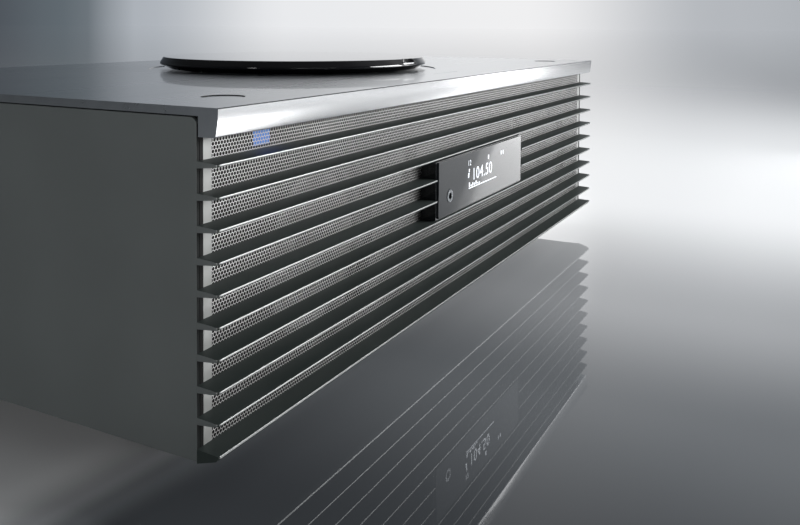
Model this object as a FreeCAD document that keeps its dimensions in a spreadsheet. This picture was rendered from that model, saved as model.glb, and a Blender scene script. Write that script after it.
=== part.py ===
"""Mini hifi system: a louvered front, a disc player under a swivelling lid, and three speakers.

The origin is on the surface that the feet stand on, below the middle of the case. +X is to the
listener's right, the front faces -Y and +Z is up. Millimetres.
"""
import FreeCAD, Part
import os
import re

import Sketcher
from FreeCAD import Rotation, Vector

doc = FreeCAD.newDocument("mini_hifi")

# ---------------------------------------------------------------------------------------------
# Driving dimensions
# ---------------------------------------------------------------------------------------------
DIMENSIONS = [
    # case
    ("case_width", 450, "over the side panels"),
    ("case_front", 140, "fin tips ahead of the origin"),
    ("case_rear", 138, "outer face of the rear panel behind the origin"),
    ("deck_top", 135.5, "top surface of the top panel"),
    ("deck_plate", 3, "thickness of the top panel"),
    ("case_bottom", 16.5, "underside of the base tray"),
    ("side_wall", 1.5, "side panel thickness"),
    ("sheet", 2, "base tray and rear panel thickness"),
    # top panel
    ("nose_drop", 9.9, "height of the rolled front edge"),
    ("nose_depth", 8.5, "front to back size of the rolled front edge"),
    ("nose_tuck", 1.2, "how far the nose curves back at its lower edge"),
    ("nose_face", 4.5, "upright part of the nose"),
    ("recess_radius", 89.5, "shallow round recess under the lid"),
    ("recess_drop", 0.5, "depth of that recess"),
    ("nose_round", 36, "radius of the nose's curve"),
    ("mark_half", 16, "half length of the mark cut at the front of the top"),
    ("mark_ahead", 115, "that mark ahead of the origin"),
    ("mark_width", 0.6, "front to back size of that mark"),
    ("mark_depth", 0.15, "depth of that mark"),
    # side panels, tray and rear panel
    ("panel_corner", 3, "rounding of a side panel's upper front corner"),
    ("panel_gap", 0.4, "gap between a side panel and the top panel"),
    ("fit_gap", 0.1, "clearance between neighbouring pieces"),
    ("tray_front", 124, "front end of the tray ahead of the origin"),
    ("flange_height", 22, "height of the tray's side flanges"),
    ("post_radius", 3, "radius of a board post"),
    ("socket_depth", 18, "how far a socket's block reaches in"),
    ("socket_proud", 2.3, "how far a socket's block stands out"),
    ("socket_hole", 12, "depth of a socket's opening"),
    ("screw_head", 3, "radius of a rear screw's head"),
    ("screw_proud", 1.4, "height of a rear screw's head"),
    ("foot_screw", 2, "radius of a foot's screw"),
    # grille and fins
    ("grille_plane", 130.8, "outer face of the grille ahead of the origin"),
    ("grille_sheet", 0.5, "thickness of the perforated sheet"),
    ("grille_half", 221.8, "half width of the grille"),
    ("fin_step", 10.74, "height from fin to fin"),
    ("fin_first", 117.5, "top of the first fin at its root"),
    ("fin_root", 2.4, "fin thickness at the grille"),
    ("fin_tip", 1.0, "fin thickness at its front edge"),
    ("fin_fall", 0.45, "how much lower the tip is than the root"),
    ("fin_corner", 1.3, "rounding of the fin's outer corners"),
    ("lip_top", 20.8, "top of the bottom lip at its root"),
    ("lip_bottom", 16.0, "lowest line of the bottom lip"),
    ("frame_depth", 6, "thickness of the front frame"),
    # display
    ("window_half", 60, "half width of the display window"),
    ("window_bottom", 64.6, "lower edge of the window"),
    ("window_top", 93.2, "upper edge of the window"),
    ("window_glass", 2.5, "thickness of the window"),
    ("housing_wall", 1.6, "side walls of the display housing"),
    ("housing_bottom", 63.9, "lower face of the display housing"),
    ("housing_top", 93.6, "upper face of the display housing"),
    ("housing_back", 114, "rear face of the display housing ahead of the origin"),
    ("jack_across", 46.7, "headphone jack, left of the middle"),
    ("jack_height", 74.1, "headphone jack above the surface"),
    ("jack_ring", 3.3, "radius of the jack's ring"),
    ("jack_bore", 1.75, "radius of the jack's bore"),
    ("glass_corner", 1, "rounding of the window's corners"),
    ("lit_left", 24, "left end of the lit panel, left of the middle"),
    ("lit_low", 73, "lower edge of the lit panel"),
    ("lit_wide", 62, "width of the lit panel"),
    ("lit_high", 18, "height of the lit panel"),
    # status light
    ("light_across", 190, "status light, left of the middle"),
    ("light_low", 118.5, "lower face of the light pipe"),
    ("light_wide", 10, "width of the light pipe"),
    ("light_high", 6.2, "height of the light pipe"),
    # buttons
    ("button_across", 190, "buttons left and right of the middle"),
    ("button_ahead", 112, "buttons ahead of the origin"),
    ("button_radius", 8, "radius of a button"),
    ("button_gap", 0.3, "groove around a button"),
    ("stem_radius", 2.5, "radius of the stem under a button, and of the hub's shaft"),
    ("stem_low", 125.3, "lower end of a button's stem"),
    ("switch_board", 119, "underside of the small boards under the buttons"),
    # lid and disc player
    ("disc_ahead", 8.5, "disc axis ahead of the origin"),
    ("lid_top", 143, "top of the disc lid"),
    ("lid_low", 136, "underside of the disc lid"),
    ("lid_radius", 83.2, "widest radius of the lid"),
    ("lid_crown", 81, "radius of the lid's flat top"),
    ("lid_skirt", 77.5, "radius of the lid's foot"),
    ("pivot_across", 68.6, "lid pivot, right of the middle"),
    ("pivot_behind", 19.2, "lid pivot behind the origin"),
    ("pivot_shaft", 3, "radius of the lid shaft"),
    ("cavity_radius", 66, "radius of the hollow under the lid"),
    ("cavity_height", 5, "depth of that hollow"),
    ("notch_radius", 12, "radius of the scallop for the finger"),
    ("notch_back", 9.5, "middle of that scallop outside the lid's flat top"),
    ("bush_wall", 1.9, "wall of the bush around the lid shaft"),
    ("well_radius", 62.8, "inner radius of the disc well"),
    ("well_wall", 1.5, "thickness of the disc well"),
    ("well_floor", 122.5, "inner floor of the disc well"),
    ("well_flange", 68.5, "outer radius of the well's flange under the top panel"),
    ("well_eye", 14.6, "radius of the opening for the hub"),
    ("slot_start", 61.5, "left end of the pickup's opening, left of the disc axis"),
    ("disc_rest", 128, "height of the face that the disc lies on"),
    ("hub_radius", 7.45, "radius of the hub that centres the disc"),
    ("rail_height", 116, "height of the pickup's guide rods"),
    ("lens_start", 24, "lens to disc axis at rest"),
    ("motor_radius", 12.5, "radius of the disc motor"),
    ("motor_low", 98, "underside of the disc motor"),
    ("plate_left", 72, "left end of the mechanism plate, left of the disc axis"),
    ("plate_low", 110, "underside of the mechanism plate"),
    ("plate_sheet", 1.8, "thickness of the mechanism plate"),
    ("rod_spread", 22, "guide rods ahead of and behind the disc axis"),
    ("screw_spread", 30, "lead screw behind the disc axis"),
    ("rod_radius", 1.5, "radius of the guide rods and the lead screw"),
    ("sled_low", 113, "underside of the pickup sled"),
    ("lens_base", 123.6, "lower edge of the lens"),
    # speakers
    ("woofer_across", 148, "woofers left and right of the middle"),
    ("woofer_height", 69, "woofer axis above the surface"),
    ("woofer_flange", 42, "radius of a woofer's frame"),
    ("tweeter_across", 77, "tweeters left and right of the middle"),
    ("tweeter_height", 96, "tweeter axis above the surface"),
    ("tweeter_flange", 14, "radius of a tweeter"),
    ("sub_flange", 56, "radius of the subwoofer's frame"),
    ("cone_gap", 0.5, "gap between a cone and its surround"),
    ("basket_radius", 24, "radius of a speaker frame's back"),
    ("basket_depth", 28, "depth of a speaker frame"),
    ("magnet_radius", 26, "radius of a speaker's magnet"),
    ("magnet_depth", 46, "back of a speaker's magnet behind its flange"),
    # inner floor plan
    ("box_inner", 92, "inner side of the speaker boxes"),
    ("box_outer", 219, "outer side of the speaker boxes"),
    ("box_back", 50, "rear face of the speaker boxes behind the origin"),
    ("box_wall", 3, "wall of the speaker boxes"),
    ("box_top", 117.5, "top of the boxes behind the woofers"),
    ("sub_half", 68, "half width of the subwoofer's box"),
    ("sub_along", 62, "front and rear of the subwoofer's box from the disc axis"),
    ("sub_top", 94, "top of the subwoofer's box"),
    ("board_height", 30, "underside of the circuit boards"),
    ("board_sheet", 1.6, "thickness of a circuit board"),
    # feet
    ("foot_across", 180, "feet left and right of the middle"),
    ("foot_along", 92, "feet ahead of and behind the origin"),
    ("foot_radius", 16, "radius of a foot"),
    ("pad_height", 1.5, "height of a foot's rubber pad"),
]

dims = doc.addObject("Spreadsheet::Sheet", "dims")
for row, (alias, value, note) in enumerate(DIMENSIONS, 1):
    dims.set(f"A{row}", note)
    dims.set(f"B{row}", str(value))
    dims.setAlias(f"B{row}", alias)
doc.recompute()

# ---------------------------------------------------------------------------------------------
# Ways of making a piece
# ---------------------------------------------------------------------------------------------
ALIAS = re.compile(r"[a-z]+_?[a-z]+")
sub_parts = []


def bind(piece, prop, formula):
    """Tie a property to a formula in the sheet's aliases."""
    piece.setExpression(prop, ALIAS.sub(lambda word: "dims." + word.group(0), str(formula)))


def place(piece, corner, turn=None):
    """Put a piece at a position given as three formulas, turned about its own origin."""
    if turn:
        piece.Placement.Rotation = turn
    for letter, formula in zip("xyz", corner):
        bind(piece, "Placement.Base." + letter, formula)
    return piece


def keep(piece, label):
    """Make a piece one of the assembly's sub-parts."""
    piece.Label = label
    sub_parts.append(piece)
    return piece


def polygon(sketch, corners):
    """A closed outline through corners given as pairs of formulas."""
    first = sketch.GeometryCount
    count = len(corners)
    start = Vector(1, 0, 0)
    for index in range(count):
        turn = Rotation(Vector(0, 0, 1), 360 / count)
        end = turn.multVec(start)
        sketch.addGeometry(Part.LineSegment(start, end), False)
        start = end
    for index in range(count):
        following = first + (index + 1) % count
        sketch.addConstraint(Sketcher.Constraint("Coincident", first + index, 2, following, 1))
    for index, corner in enumerate(corners, first):
        for direction, formula in zip("XY", corner):
            rule = Sketcher.Constraint("Distance" + direction, -1, 1, index, 1, 1.0)
            name = f"{direction.lower()}{index}"
            sketch.renameConstraint(sketch.addConstraint(rule), name)
            bind(sketch, "Constraints." + name, formula)


def circle(sketch, centre, radius):
    """A circle with its centre and radius given as formulas."""
    index = sketch.addGeometry(Part.Circle(Vector(0, 0, 0), Vector(0, 0, 1), 1), False)
    rules = [
        ("r", Sketcher.Constraint("Radius", index, 2.0), radius),
        ("x", Sketcher.Constraint("DistanceX", -1, 1, index, 3, 1.0), centre[0]),
        ("y", Sketcher.Constraint("DistanceY", -1, 1, index, 3, 1.0), centre[1]),
    ]
    for letter, rule, formula in rules:
        name = f"{letter}{index}"
        sketch.renameConstraint(sketch.addConstraint(rule), name)
        bind(sketch, "Constraints." + name, formula)


def sketch_on(body, plane, shift="0"):
    """An empty sketch on one of the body's origin planes, moved along the plane's normal."""
    sketch = body.newObject("Sketcher::SketchObject", body.Name + "_sketch")
    base = next(item for item in body.Origin.OriginFeatures if item.Role == plane + "_Plane")
    sketch.AttachmentSupport = [(base, "")]
    sketch.MapMode = "FlatFace"
    bind(sketch, "AttachmentOffset.Base.z", shift)
    return sketch


def rectangle(left, right, low, high):
    """The four corners of a rectangle, as formulas."""
    return [(left, low), (right, low), (right, high), (left, high)]


def extruded(name, plane, outline, length, symmetric=False):
    """A body padded from one outline on a plane through its origin."""
    body = doc.addObject("PartDesign::Body", name)
    sketch = sketch_on(body, plane)
    polygon(sketch, outline)
    pad = body.newObject("PartDesign::Pad", name + "_pad")
    pad.Profile = sketch
    bind(pad, "Length", length)
    if symmetric:
        pad.SideType = "Symmetric"
    doc.recompute()
    return body


def cut_through(body, plane, polygons=(), circles=()):
    """Cut openings right through a body, both ways from a plane through its origin."""
    before = body.Shape.Volume
    sketch = sketch_on(body, plane)
    for outline in polygons:
        polygon(sketch, outline)
    for centre, radius in circles:
        circle(sketch, centre, radius)
    pocket = body.newObject("PartDesign::Pocket", body.Name + "_openings")
    pocket.Profile = sketch
    pocket.Type = "ThroughAll"
    pocket.SideType = "Symmetric"
    doc.recompute()
    assert body.Shape.Volume < before, body.Name + ": openings cut nothing"


def cut_down(body, level, depth, polygons=(), circles=()):
    """Cut pockets of one depth downwards from a level."""
    before = body.Shape.Volume
    sketch = sketch_on(body, "XY", level)
    for outline in polygons:
        polygon(sketch, outline)
    for centre, radius in circles:
        circle(sketch, centre, radius)
    pocket = body.newObject("PartDesign::Pocket", body.Name + "_pocket")
    pocket.Profile = sketch
    bind(pocket, "Length", depth)
    doc.recompute()
    assert body.Shape.Volume < before, body.Name + ": pocket cut nothing"


def rounded(body, radius, chosen):
    """Fillet the edges of a body that a test picks out."""
    base = body.Tip
    names = [f"Edge{index}" for index, edge in enumerate(base.Shape.Edges, 1) if chosen(edge)]
    assert names, body.Name + ": no edge to round"
    fillet = body.newObject("PartDesign::Fillet", body.Name + "_fillet")
    fillet.Base = (base, names)
    bind(fillet, "Radius", radius)
    doc.recompute()


def bevelled(body, size, chosen):
    """Chamfer the edges of a body that a test picks out."""
    base = body.Tip
    names = [f"Edge{index}" for index, edge in enumerate(base.Shape.Edges, 1) if chosen(edge)]
    assert names, body.Name + ": no edge to bevel"
    chamfer = body.newObject("PartDesign::Chamfer", body.Name + "_chamfer")
    chamfer.Base = (base, names)
    bind(chamfer, "Size", size)
    doc.recompute()


def turned(name, outline):
    """A body turned about its own Z axis from an outline of (radius, height) formulas."""
    body = doc.addObject("PartDesign::Body", name)
    sketch = sketch_on(body, "XZ")
    polygon(sketch, outline)
    revolution = body.newObject("PartDesign::Revolution", name + "_turn")
    revolution.Profile = sketch
    revolution.ReferenceAxis = (sketch, ["V_Axis"])
    revolution.Angle = 360
    doc.recompute()
    return body


def block(name, corner, length, width, height):
    """A plain block from its low corner and its three sizes."""
    piece = doc.addObject("Part::Box", name)
    bind(piece, "Length", length)
    bind(piece, "Width", width)
    bind(piece, "Height", height)
    return place(piece, corner)


def rod(name, start, radius, length, turn=None):
    """A round bar along Z, or along the way that a turn points Z."""
    piece = doc.addObject("Part::Cylinder", name)
    bind(piece, "Radius", radius)
    bind(piece, "Height", length)
    return place(piece, start, turn)


def joined(name, pieces):
    """One solid made of several touching pieces."""
    fuse = doc.addObject("Part::MultiFuse", name)
    fuse.Shapes = pieces
    fuse.Refine = True
    return fuse


def pierced(name, base, tools):
    """A piece with several tools cut out of it."""
    cut = doc.addObject("Part::Cut", name)
    cut.Base = base
    cut.Tool = tools[0] if len(tools) == 1 else joined(name + "_tools", tools)
    doc.recompute()
    assert cut.Shape.Volume < base.Shape.Volume, name + ": tools cut nothing"
    return cut


def together(name, pieces):
    """Separate solids that share one node."""
    group = doc.addObject("Part::Compound", name)
    group.Links = pieces
    return group


TO_FRONT = Rotation(Vector(1, 0, 0), 90)
TO_BACK = Rotation(Vector(1, 0, 0), -90)
TO_RIGHT = Rotation(Vector(0, 1, 0), 90)
FLIPPED = Rotation(Vector(1, 0, 0), 180)
SIDES = {"left": "-1", "right": "1"}
EDGE_TOLERANCE = 0.01


def runs_up(edge):
    """An upright edge."""
    box = edge.BoundBox
    return box.XLength < EDGE_TOLERANCE and box.YLength < EDGE_TOLERANCE and box.ZLength > 0.2


def runs_across(edge, y, z):
    """A left to right edge at a given place."""
    box = edge.BoundBox
    near = abs(box.YMin - y) < EDGE_TOLERANCE and abs(box.ZMin - z) < EDGE_TOLERANCE
    return near and box.YLength < EDGE_TOLERANCE and box.ZLength < EDGE_TOLERANCE


# ---------------------------------------------------------------------------------------------
# Case
# ---------------------------------------------------------------------------------------------
def make_top_panel():
    """Aluminium plate with a rolled nose, a lid recess, the well opening and button holes."""
    outline = [
        ("-case_front", "deck_top"),
        ("case_rear", "deck_top"),
        ("case_rear", "deck_top - deck_plate"),
        ("nose_depth - case_front", "deck_top - deck_plate"),
        ("nose_depth - case_front", "deck_top - nose_drop"),
        ("nose_tuck - case_front", "deck_top - nose_drop"),
        ("-case_front", "deck_top - nose_face"),
    ]
    panel = extruded("top_panel", "YZ", outline, "case_width", symmetric=True)
    front = -dims.case_front
    rounded(panel, "nose_round", lambda e: runs_across(e, front, dims.deck_top - dims.nose_face))
    low = dims.deck_top - dims.nose_drop
    rounded(panel, "0.6", lambda e: runs_across(e, front + dims.nose_tuck, low))
    bevelled(panel, "0.35", lambda e: runs_across(e, front, dims.deck_top))
    disc_axis = ("0", "-disc_ahead")
    buttons = [((side + " * button_across", "-button_ahead"), "button_radius + button_gap")
               for side in SIDES.values()]
    cut_down(panel, "deck_top", "recess_drop", circles=[(disc_axis, "recess_radius")])
    cut_through(panel, "XY", circles=buttons + [
        (disc_axis, "well_radius + well_wall + 0.2"),
        (("pivot_across", "pivot_behind"), "pivot_shaft + 2"),
    ])
    mark = rectangle("-mark_half", "mark_half", "-mark_ahead - mark_width / 2", "mark_width / 2 - mark_ahead")
    cut_down(panel, "deck_top", "mark_depth", polygons=[mark])
    keep(panel, "top_panel")


def make_side_panels():
    """Two thin charcoal panels with a rounded upper front corner."""
    for name, side in SIDES.items():
        outline = rectangle("-grille_plane", "case_rear", "case_bottom", "deck_top - deck_plate - panel_gap")
        panel = extruded("side_panel_" + name, "YZ", outline, "side_wall")
        place(panel, (side + " * (case_width - side_wall) / 2 - side_wall / 2", "0", "0"))
        doc.recompute()
        top = dims.deck_top - dims.deck_plate - dims.panel_gap
        rounded(panel, "panel_corner", lambda e: (abs(e.BoundBox.YMin + dims.grille_plane) < EDGE_TOLERANCE
                                       and abs(e.BoundBox.ZMin - top) < EDGE_TOLERANCE
                                       and e.BoundBox.YLength < EDGE_TOLERANCE))
        keep(panel, "side_panel_" + name)


# across and along of each post under the boards
BOARD_POSTS = [(-50, 64), (200, 64), (-50, 112), (200, 112),
               (-208, 64), (-84, 64), (-208, 112), (-84, 112)]


def make_base_tray():
    """Folded steel tray: a floor with two low flanges, posts for the boards, and openings."""
    half = "case_width / 2 - side_wall - fit_gap"
    floor = "case_bottom + sheet"
    outline = [
        (f"-({half})", "case_bottom"),
        (half, "case_bottom"),
        (half, "case_bottom + flange_height"),
        (f"{half} - sheet", "case_bottom + flange_height"),
        (f"{half} - sheet", floor),
        (f"sheet - ({half})", floor),
        (f"sheet - ({half})", "case_bottom + flange_height"),
        (f"-({half})", "case_bottom + flange_height"),
    ]
    tray = extruded("tray", "XZ", outline, "tray_front + case_rear - sheet - fit_gap")
    shift = "case_rear - sheet - fit_gap"
    place(tray, ("0", shift, "0"))
    doc.recompute()
    openings = [(("0", f"-disc_ahead - ({shift})"), "sub_flange - 4")]
    for side in SIDES.values():
        for end in SIDES.values():
            centre = (side + " * foot_across", f"{end} * foot_along - ({shift})")
            openings.append((centre, "foot_screw + fit_gap"))
    cut_through(tray, "XY", circles=openings)
    posts = [rod("board_post", (x, y, floor), "post_radius", f"board_height - ({floor})")
             for x, y in BOARD_POSTS]
    keep(joined("tray_with_posts", [tray] + posts), "base_tray")


# name, centre across, centre height, width, height, opening width, opening height
SQUARE_SOCKETS = [
    ("mains_inlet", -150, 45, 30, 22, 21, 12),
    ("network", 20, 45, 17, 15, 12, 8.5),
    ("usb", 50, 45, 15.5, 9, 12.2, 4.6),
    ("optical", 78, 45, 12, 12, 5.5, 5.5),
]
# name, centre across, centre height, width, height, bore radius
ROUND_SOCKETS = [
    ("antenna", 108, 45, 13, 13, 4.75),
]


def make_rear_panel():
    """Steel plate with an opening for each socket."""
    half = "case_width / 2 - side_wall - fit_gap"
    outline = rectangle(f"-({half})", half,
                        "case_bottom + sheet + fit_gap", "deck_top - deck_plate - fit_gap")
    panel = extruded("rear_panel", "XZ", outline, "sheet")
    place(panel, ("0", "case_rear", "0"))
    doc.recompute()
    openings = [rectangle(x - width / 2, x + width / 2, z - height / 2, z + height / 2)
                for _, x, z, width, height, *_ in SQUARE_SOCKETS + ROUND_SOCKETS]
    cut_through(panel, "XZ", polygons=openings)
    keep(panel, "rear_panel")


def socket_body(name, x, z, width, height):
    """The block of one socket, through the rear panel."""
    corner = (x - width / 2, "case_rear - socket_depth", z - height / 2)
    return block(name + "_body", corner, width, "socket_depth + socket_proud", height)


def make_sockets():
    """Blocks in the rear panel, each with its opening to the back."""
    pieces = []
    for name, x, z, width, height, hole_width, hole_height in SQUARE_SOCKETS:
        corner = (x - hole_width / 2, "case_rear - socket_hole", z - hole_height / 2)
        hole = block(name + "_hole", corner, hole_width, "20", hole_height)
        pieces.append(pierced(name + "_socket", socket_body(name, x, z, width, height), [hole]))
    for name, x, z, width, height, radius in ROUND_SOCKETS:
        hole = rod(name + "_hole", (x, "case_rear - socket_hole", z), radius, "20", TO_BACK)
        pieces.append(pierced(name + "_socket", socket_body(name, x, z, width, height), [hole]))
    keep(pieces.pop(0), "mains_inlet")
    keep(together("rear_socket_row", pieces), "rear_sockets")


def make_feet():
    """Four tapered feet on rubber pads, screwed up into the tray."""
    feet, pads, screws = [], [], []
    for side in SIDES.values():
        for end in SIDES.values():
            centre = (f"{side} * foot_across", f"{end} * foot_along")
            foot = turned("foot", [
                ("0", "pad_height"),
                ("foot_radius - 2", "pad_height"),
                ("foot_radius", "case_bottom - 1"),
                ("foot_radius", "case_bottom"),
                ("0", "case_bottom"),
            ])
            feet.append(place(foot, (*centre, "0")))
            pads.append(rod("pad", (*centre, "0"), "foot_radius - 3", "pad_height"))
            screws.append(rod("foot_screw", (*centre, "case_bottom"), "foot_screw", "sheet"))
    keep(together("feet", feet), "feet")
    keep(together("foot_pads", pads), "foot_pads")
    return screws


# ---------------------------------------------------------------------------------------------
# Front: frame, grille, fins and display
# ---------------------------------------------------------------------------------------------
def make_front_frame():
    """Moulded baffle behind the grille, with end posts that carry the fins."""
    top = "deck_top - deck_plate - fit_gap"
    half = "case_width / 2 - side_wall - fit_gap"
    frame = extruded("baffle", "XZ", rectangle(f"-({half})", half, "lip_top", top), "frame_depth")
    place(frame, ("0", "frame_depth + grille_sheet - grille_plane", "0"))
    doc.recompute()
    circles = []
    for side in SIDES.values():
        circles.append(((side + " * woofer_across", "woofer_height"), "woofer_flange - 4"))
        circles.append(((side + " * tweeter_across", "tweeter_height"), "tweeter_flange - 3"))
    reach = "window_half + housing_wall + fit_gap"
    display = rectangle(f"-({reach})", reach, "housing_bottom - fit_gap", "housing_top + fit_gap")
    light = rectangle("-light_across - light_wide / 2 - fit_gap", "light_wide / 2 + fit_gap - light_across",
                      "light_low - fit_gap", "light_low + light_high + fit_gap")
    cut_through(frame, "XZ", polygons=[display, light], circles=circles)
    pieces = [frame]
    for name, side in SIDES.items():
        corner = (f"{side} * (grille_half + fit_gap) + ({side} - 1) / 2 * ({half} - grille_half - fit_gap)",
                  "-grille_plane", "lip_top")
        pieces.append(block("post_" + name, corner, f"{half} - grille_half - fit_gap",
                            "grille_sheet", f"{top} - lip_top"))
    keep(joined("baffle_with_posts", pieces), "front_frame")


def make_grille():
    """Perforated steel sheet across the whole front, cut out around the display."""
    outline = rectangle("-grille_half", "grille_half", "lip_top", "deck_top - deck_plate - fit_gap")
    sheet = extruded("grille", "XZ", outline, "grille_sheet")
    place(sheet, ("0", "grille_sheet - grille_plane", "0"))
    reach = "window_half + housing_wall + fit_gap"
    cut_through(sheet, "XZ", polygons=[
        rectangle(f"-({reach})", reach, "housing_bottom - fit_gap", "housing_top + fit_gap")])
    keep(sheet, "grille")


def fin_outline(drop):
    """A fin's section, flat on top and tapering below, lowered by a formula."""
    return [
        ("-grille_plane", f"fin_first - {drop}"),
        ("-case_front", f"fin_first - fin_fall - {drop}"),
        ("-case_front", f"fin_first - fin_fall - fin_tip - {drop}"),
        ("-grille_plane", f"fin_first - fin_root - {drop}"),
    ]


def make_fins():
    """Nine fins; the fourth and fifth are interrupted by the display."""
    half = "case_width / 2"
    inner = "window_half + housing_wall + fit_gap"
    part_length = f"{half} - ({inner})"
    for index in range(9):
        label = f"louver_{index + 1}"
        # start, length, and whether each end is one of the case's outer corners
        spans = [(f"-{half}", "case_width", True, True)]
        if index in (3, 4):
            spans = [(f"-{half}", part_length, True, False), (inner, part_length, False, True)]
        pieces = []
        for start, length, left_outer, right_outer in spans:
            fin = extruded(label + "_fin", "YZ", fin_outline(f"{index} * fin_step"), length)
            place(fin, (start, "0", "0"))
            doc.recompute()
            corners = [0.0] * left_outer + [fin.Tip.Length.Value] * right_outer
            rounded(fin, "fin_corner", lambda e: (
                runs_up(e) and abs(e.BoundBox.YMin + dims.case_front) < EDGE_TOLERANCE
                and any(abs(e.BoundBox.XMin - x) < EDGE_TOLERANCE for x in corners)))
            pieces.append(fin)
        whole = pieces[0] if len(pieces) == 1 else together(label + "_pair", pieces)
        keep(whole, label)


def make_bottom_lip():
    """The lowest fin, deeper at its root, on which the grille and frame stand."""
    behind = "frame_depth + grille_sheet - grille_plane"
    outline = [
        ("-grille_plane", "lip_top"),
        ("-case_front", "lip_top - 0.4"),
        ("0.3 - case_front", "lip_top - 1.3"),
        ("1.0 - case_front", "lip_top - 2.3"),
        ("-grille_plane", "lip_bottom"),
        (behind, "lip_bottom"),
        (behind, "lip_top"),
    ]
    lip = extruded("bottom_lip", "YZ", outline, "case_width", symmetric=True)
    half = "case_width / 2 - side_wall - fit_gap"
    corners = [rectangle(half, "case_width / 2 + 1", "-grille_plane", "1 + " + behind),
               rectangle("-case_width / 2 - 1", f"-({half})", "-grille_plane", "1 + " + behind)]
    cut_through(lip, "XY", polygons=corners)
    keep(lip, "bottom_lip")


def make_display():
    """A black housing with a smoked window, the lit panel and its board."""
    reach = "window_half + housing_wall"
    front = "case_front - 1"
    outer = block("housing_outer", (f"-({reach})", f"-({front})", "housing_bottom"),
                  f"2 * ({reach})", f"{front} - housing_back", "housing_top - housing_bottom")
    seat = block("housing_seat", ("-window_half - fit_gap", "-case_front - 1", "window_bottom - fit_gap"),
                 "2 * (window_half + fit_gap)", "1 + window_glass + fit_gap",
                 "window_top - window_bottom + 2 * fit_gap")
    room = block("housing_room", ("-window_half + 2", "-case_front", "window_bottom + 1.5"),
                 "2 * window_half - 4", "case_front - housing_back - 2",
                 "window_top - window_bottom - 3")
    jack_way = rod("housing_jack_way", ("-jack_across", "1 - housing_back", "jack_height"),
                   "jack_ring + fit_gap", "5", TO_FRONT)
    keep(pierced("display_housing_cut", outer, [seat, room, jack_way]), "display_housing")

    glass = extruded("display_window", "XZ",
                     rectangle("-window_half", "window_half", "window_bottom", "window_top"),
                     "window_glass")
    place(glass, ("0", "window_glass - case_front", "0"))
    doc.recompute()
    along = dims.window_glass
    rounded(glass, "glass_corner", lambda e: abs(e.BoundBox.YLength - along) < EDGE_TOLERANCE)
    cut_through(glass, "XZ", circles=[(("-jack_across", "jack_height"), "jack_ring + fit_gap")])
    keep(glass, "display_window")

    panel = block("lit_panel", ("-lit_left", "window_glass + 0.3 - case_front", "lit_low"),
                  "lit_wide", "2", "lit_high")
    keep(panel, "display_panel")
    board = block("board", ("-lit_left - 10", "window_glass + 2.3 - case_front", "lit_low - 5"),
                  "lit_wide + 26", "board_sheet", "lit_high + 5.2")
    keep(board, "display_board")

    barrel = rod("jack_barrel", ("-jack_across", "2 - housing_back", "jack_height"),
                 "jack_ring", "case_front + 0.3 - housing_back + 2", TO_FRONT)
    bore = rod("jack_hole", ("-jack_across", "15.3 - case_front - 0.3", "jack_height"),
               "jack_bore", "20", TO_FRONT)
    keep(pierced("jack_cut", barrel, [bore]), "headphone_jack")


def make_status_light():
    """Light pipe in the frame, behind the grille."""
    corner = ("-light_across - light_wide / 2", "grille_sheet - grille_plane + 0.2", "light_low")
    pipe = block("light_pipe", corner, "light_wide", "frame_depth - 0.4", "light_high")
    keep(pipe, "status_light")


def make_buttons():
    """A cap with a stem on each side, over a switch on a small board."""
    switches = []
    labels = {"left": "power_button", "right": "source_button"}
    for name, side in SIDES.items():
        cap = turned(labels[name], [
            ("0", "stem_low"),
            ("stem_radius", "stem_low"),
            ("stem_radius", "deck_top - deck_plate"),
            ("button_radius", "deck_top - deck_plate"),
            ("button_radius", "deck_top - 0.3"),
            ("button_radius - 0.3", "deck_top"),
            ("0", "deck_top"),
        ])
        place(cap, (side + " * button_across", "-button_ahead", "0"))
        keep(cap, labels[name])
        middle = side + " * button_across"
        board = block("key_board", (middle + " - 11", "-button_ahead - 9", "switch_board"),
                      "22", "18", "board_sheet")
        switch = block("key_switch", (middle + " - 3", "-button_ahead - 3", "switch_board + board_sheet"),
                       "6", "6", "3.4")
        switches.append(joined("key_unit_" + name, [board, switch]))
    keep(together("key_boards", switches), "key_boards")


# ---------------------------------------------------------------------------------------------
# Disc player
# ---------------------------------------------------------------------------------------------
def make_lid():
    """Glossy lid that turns level about an upright shaft in its rim."""
    lid = turned("lid_body", [
        ("0", "lid_low + cavity_height"),
        ("cavity_radius", "lid_low + cavity_height"),
        ("cavity_radius", "lid_low"),
        ("lid_skirt", "lid_low"),
        ("lid_radius - 0.3", "lid_low + 2.6"),
        ("lid_radius", "lid_low + 3.2"),
        ("lid_radius - 0.3", "lid_low + 4.2"),
        ("lid_crown", "lid_top"),
        ("0", "lid_top"),
    ])
    place(lid, ("0", "-disc_ahead", "0"))
    scallop = ("0", "-disc_ahead - lid_crown - notch_back", "lid_top - 3")
    notch = rod("finger_notch", scallop, "notch_radius", "8")
    socket = rod("shaft_socket", ("pivot_across", "pivot_behind", "lid_low - 1"), "pivot_shaft", "5")
    keep(pierced("disc_lid_cut", lid, [notch, socket]), "disc_lid")

    shaft = turned("lid_shaft", [
        ("0", "plate_low + 2"),
        ("pivot_shaft + 2", "plate_low + 2"),
        ("pivot_shaft + 2", "plate_low + 3.5"),
        ("pivot_shaft", "plate_low + 3.5"),
        ("pivot_shaft", "lid_low + 4"),
        ("0", "lid_low + 4"),
    ])
    keep(place(shaft, ("pivot_across", "pivot_behind", "0")), "lid_shaft")
    bush = turned("lid_bush", [
        ("pivot_shaft + 0.05", "plate_low + 4"),
        ("pivot_shaft + bush_wall", "plate_low + 4"),
        ("pivot_shaft + bush_wall", "deck_top - recess_drop"),
        ("pivot_shaft + 0.05", "deck_top - recess_drop"),
    ])
    keep(place(bush, ("pivot_across", "pivot_behind", "0")), "lid_bush")


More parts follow.
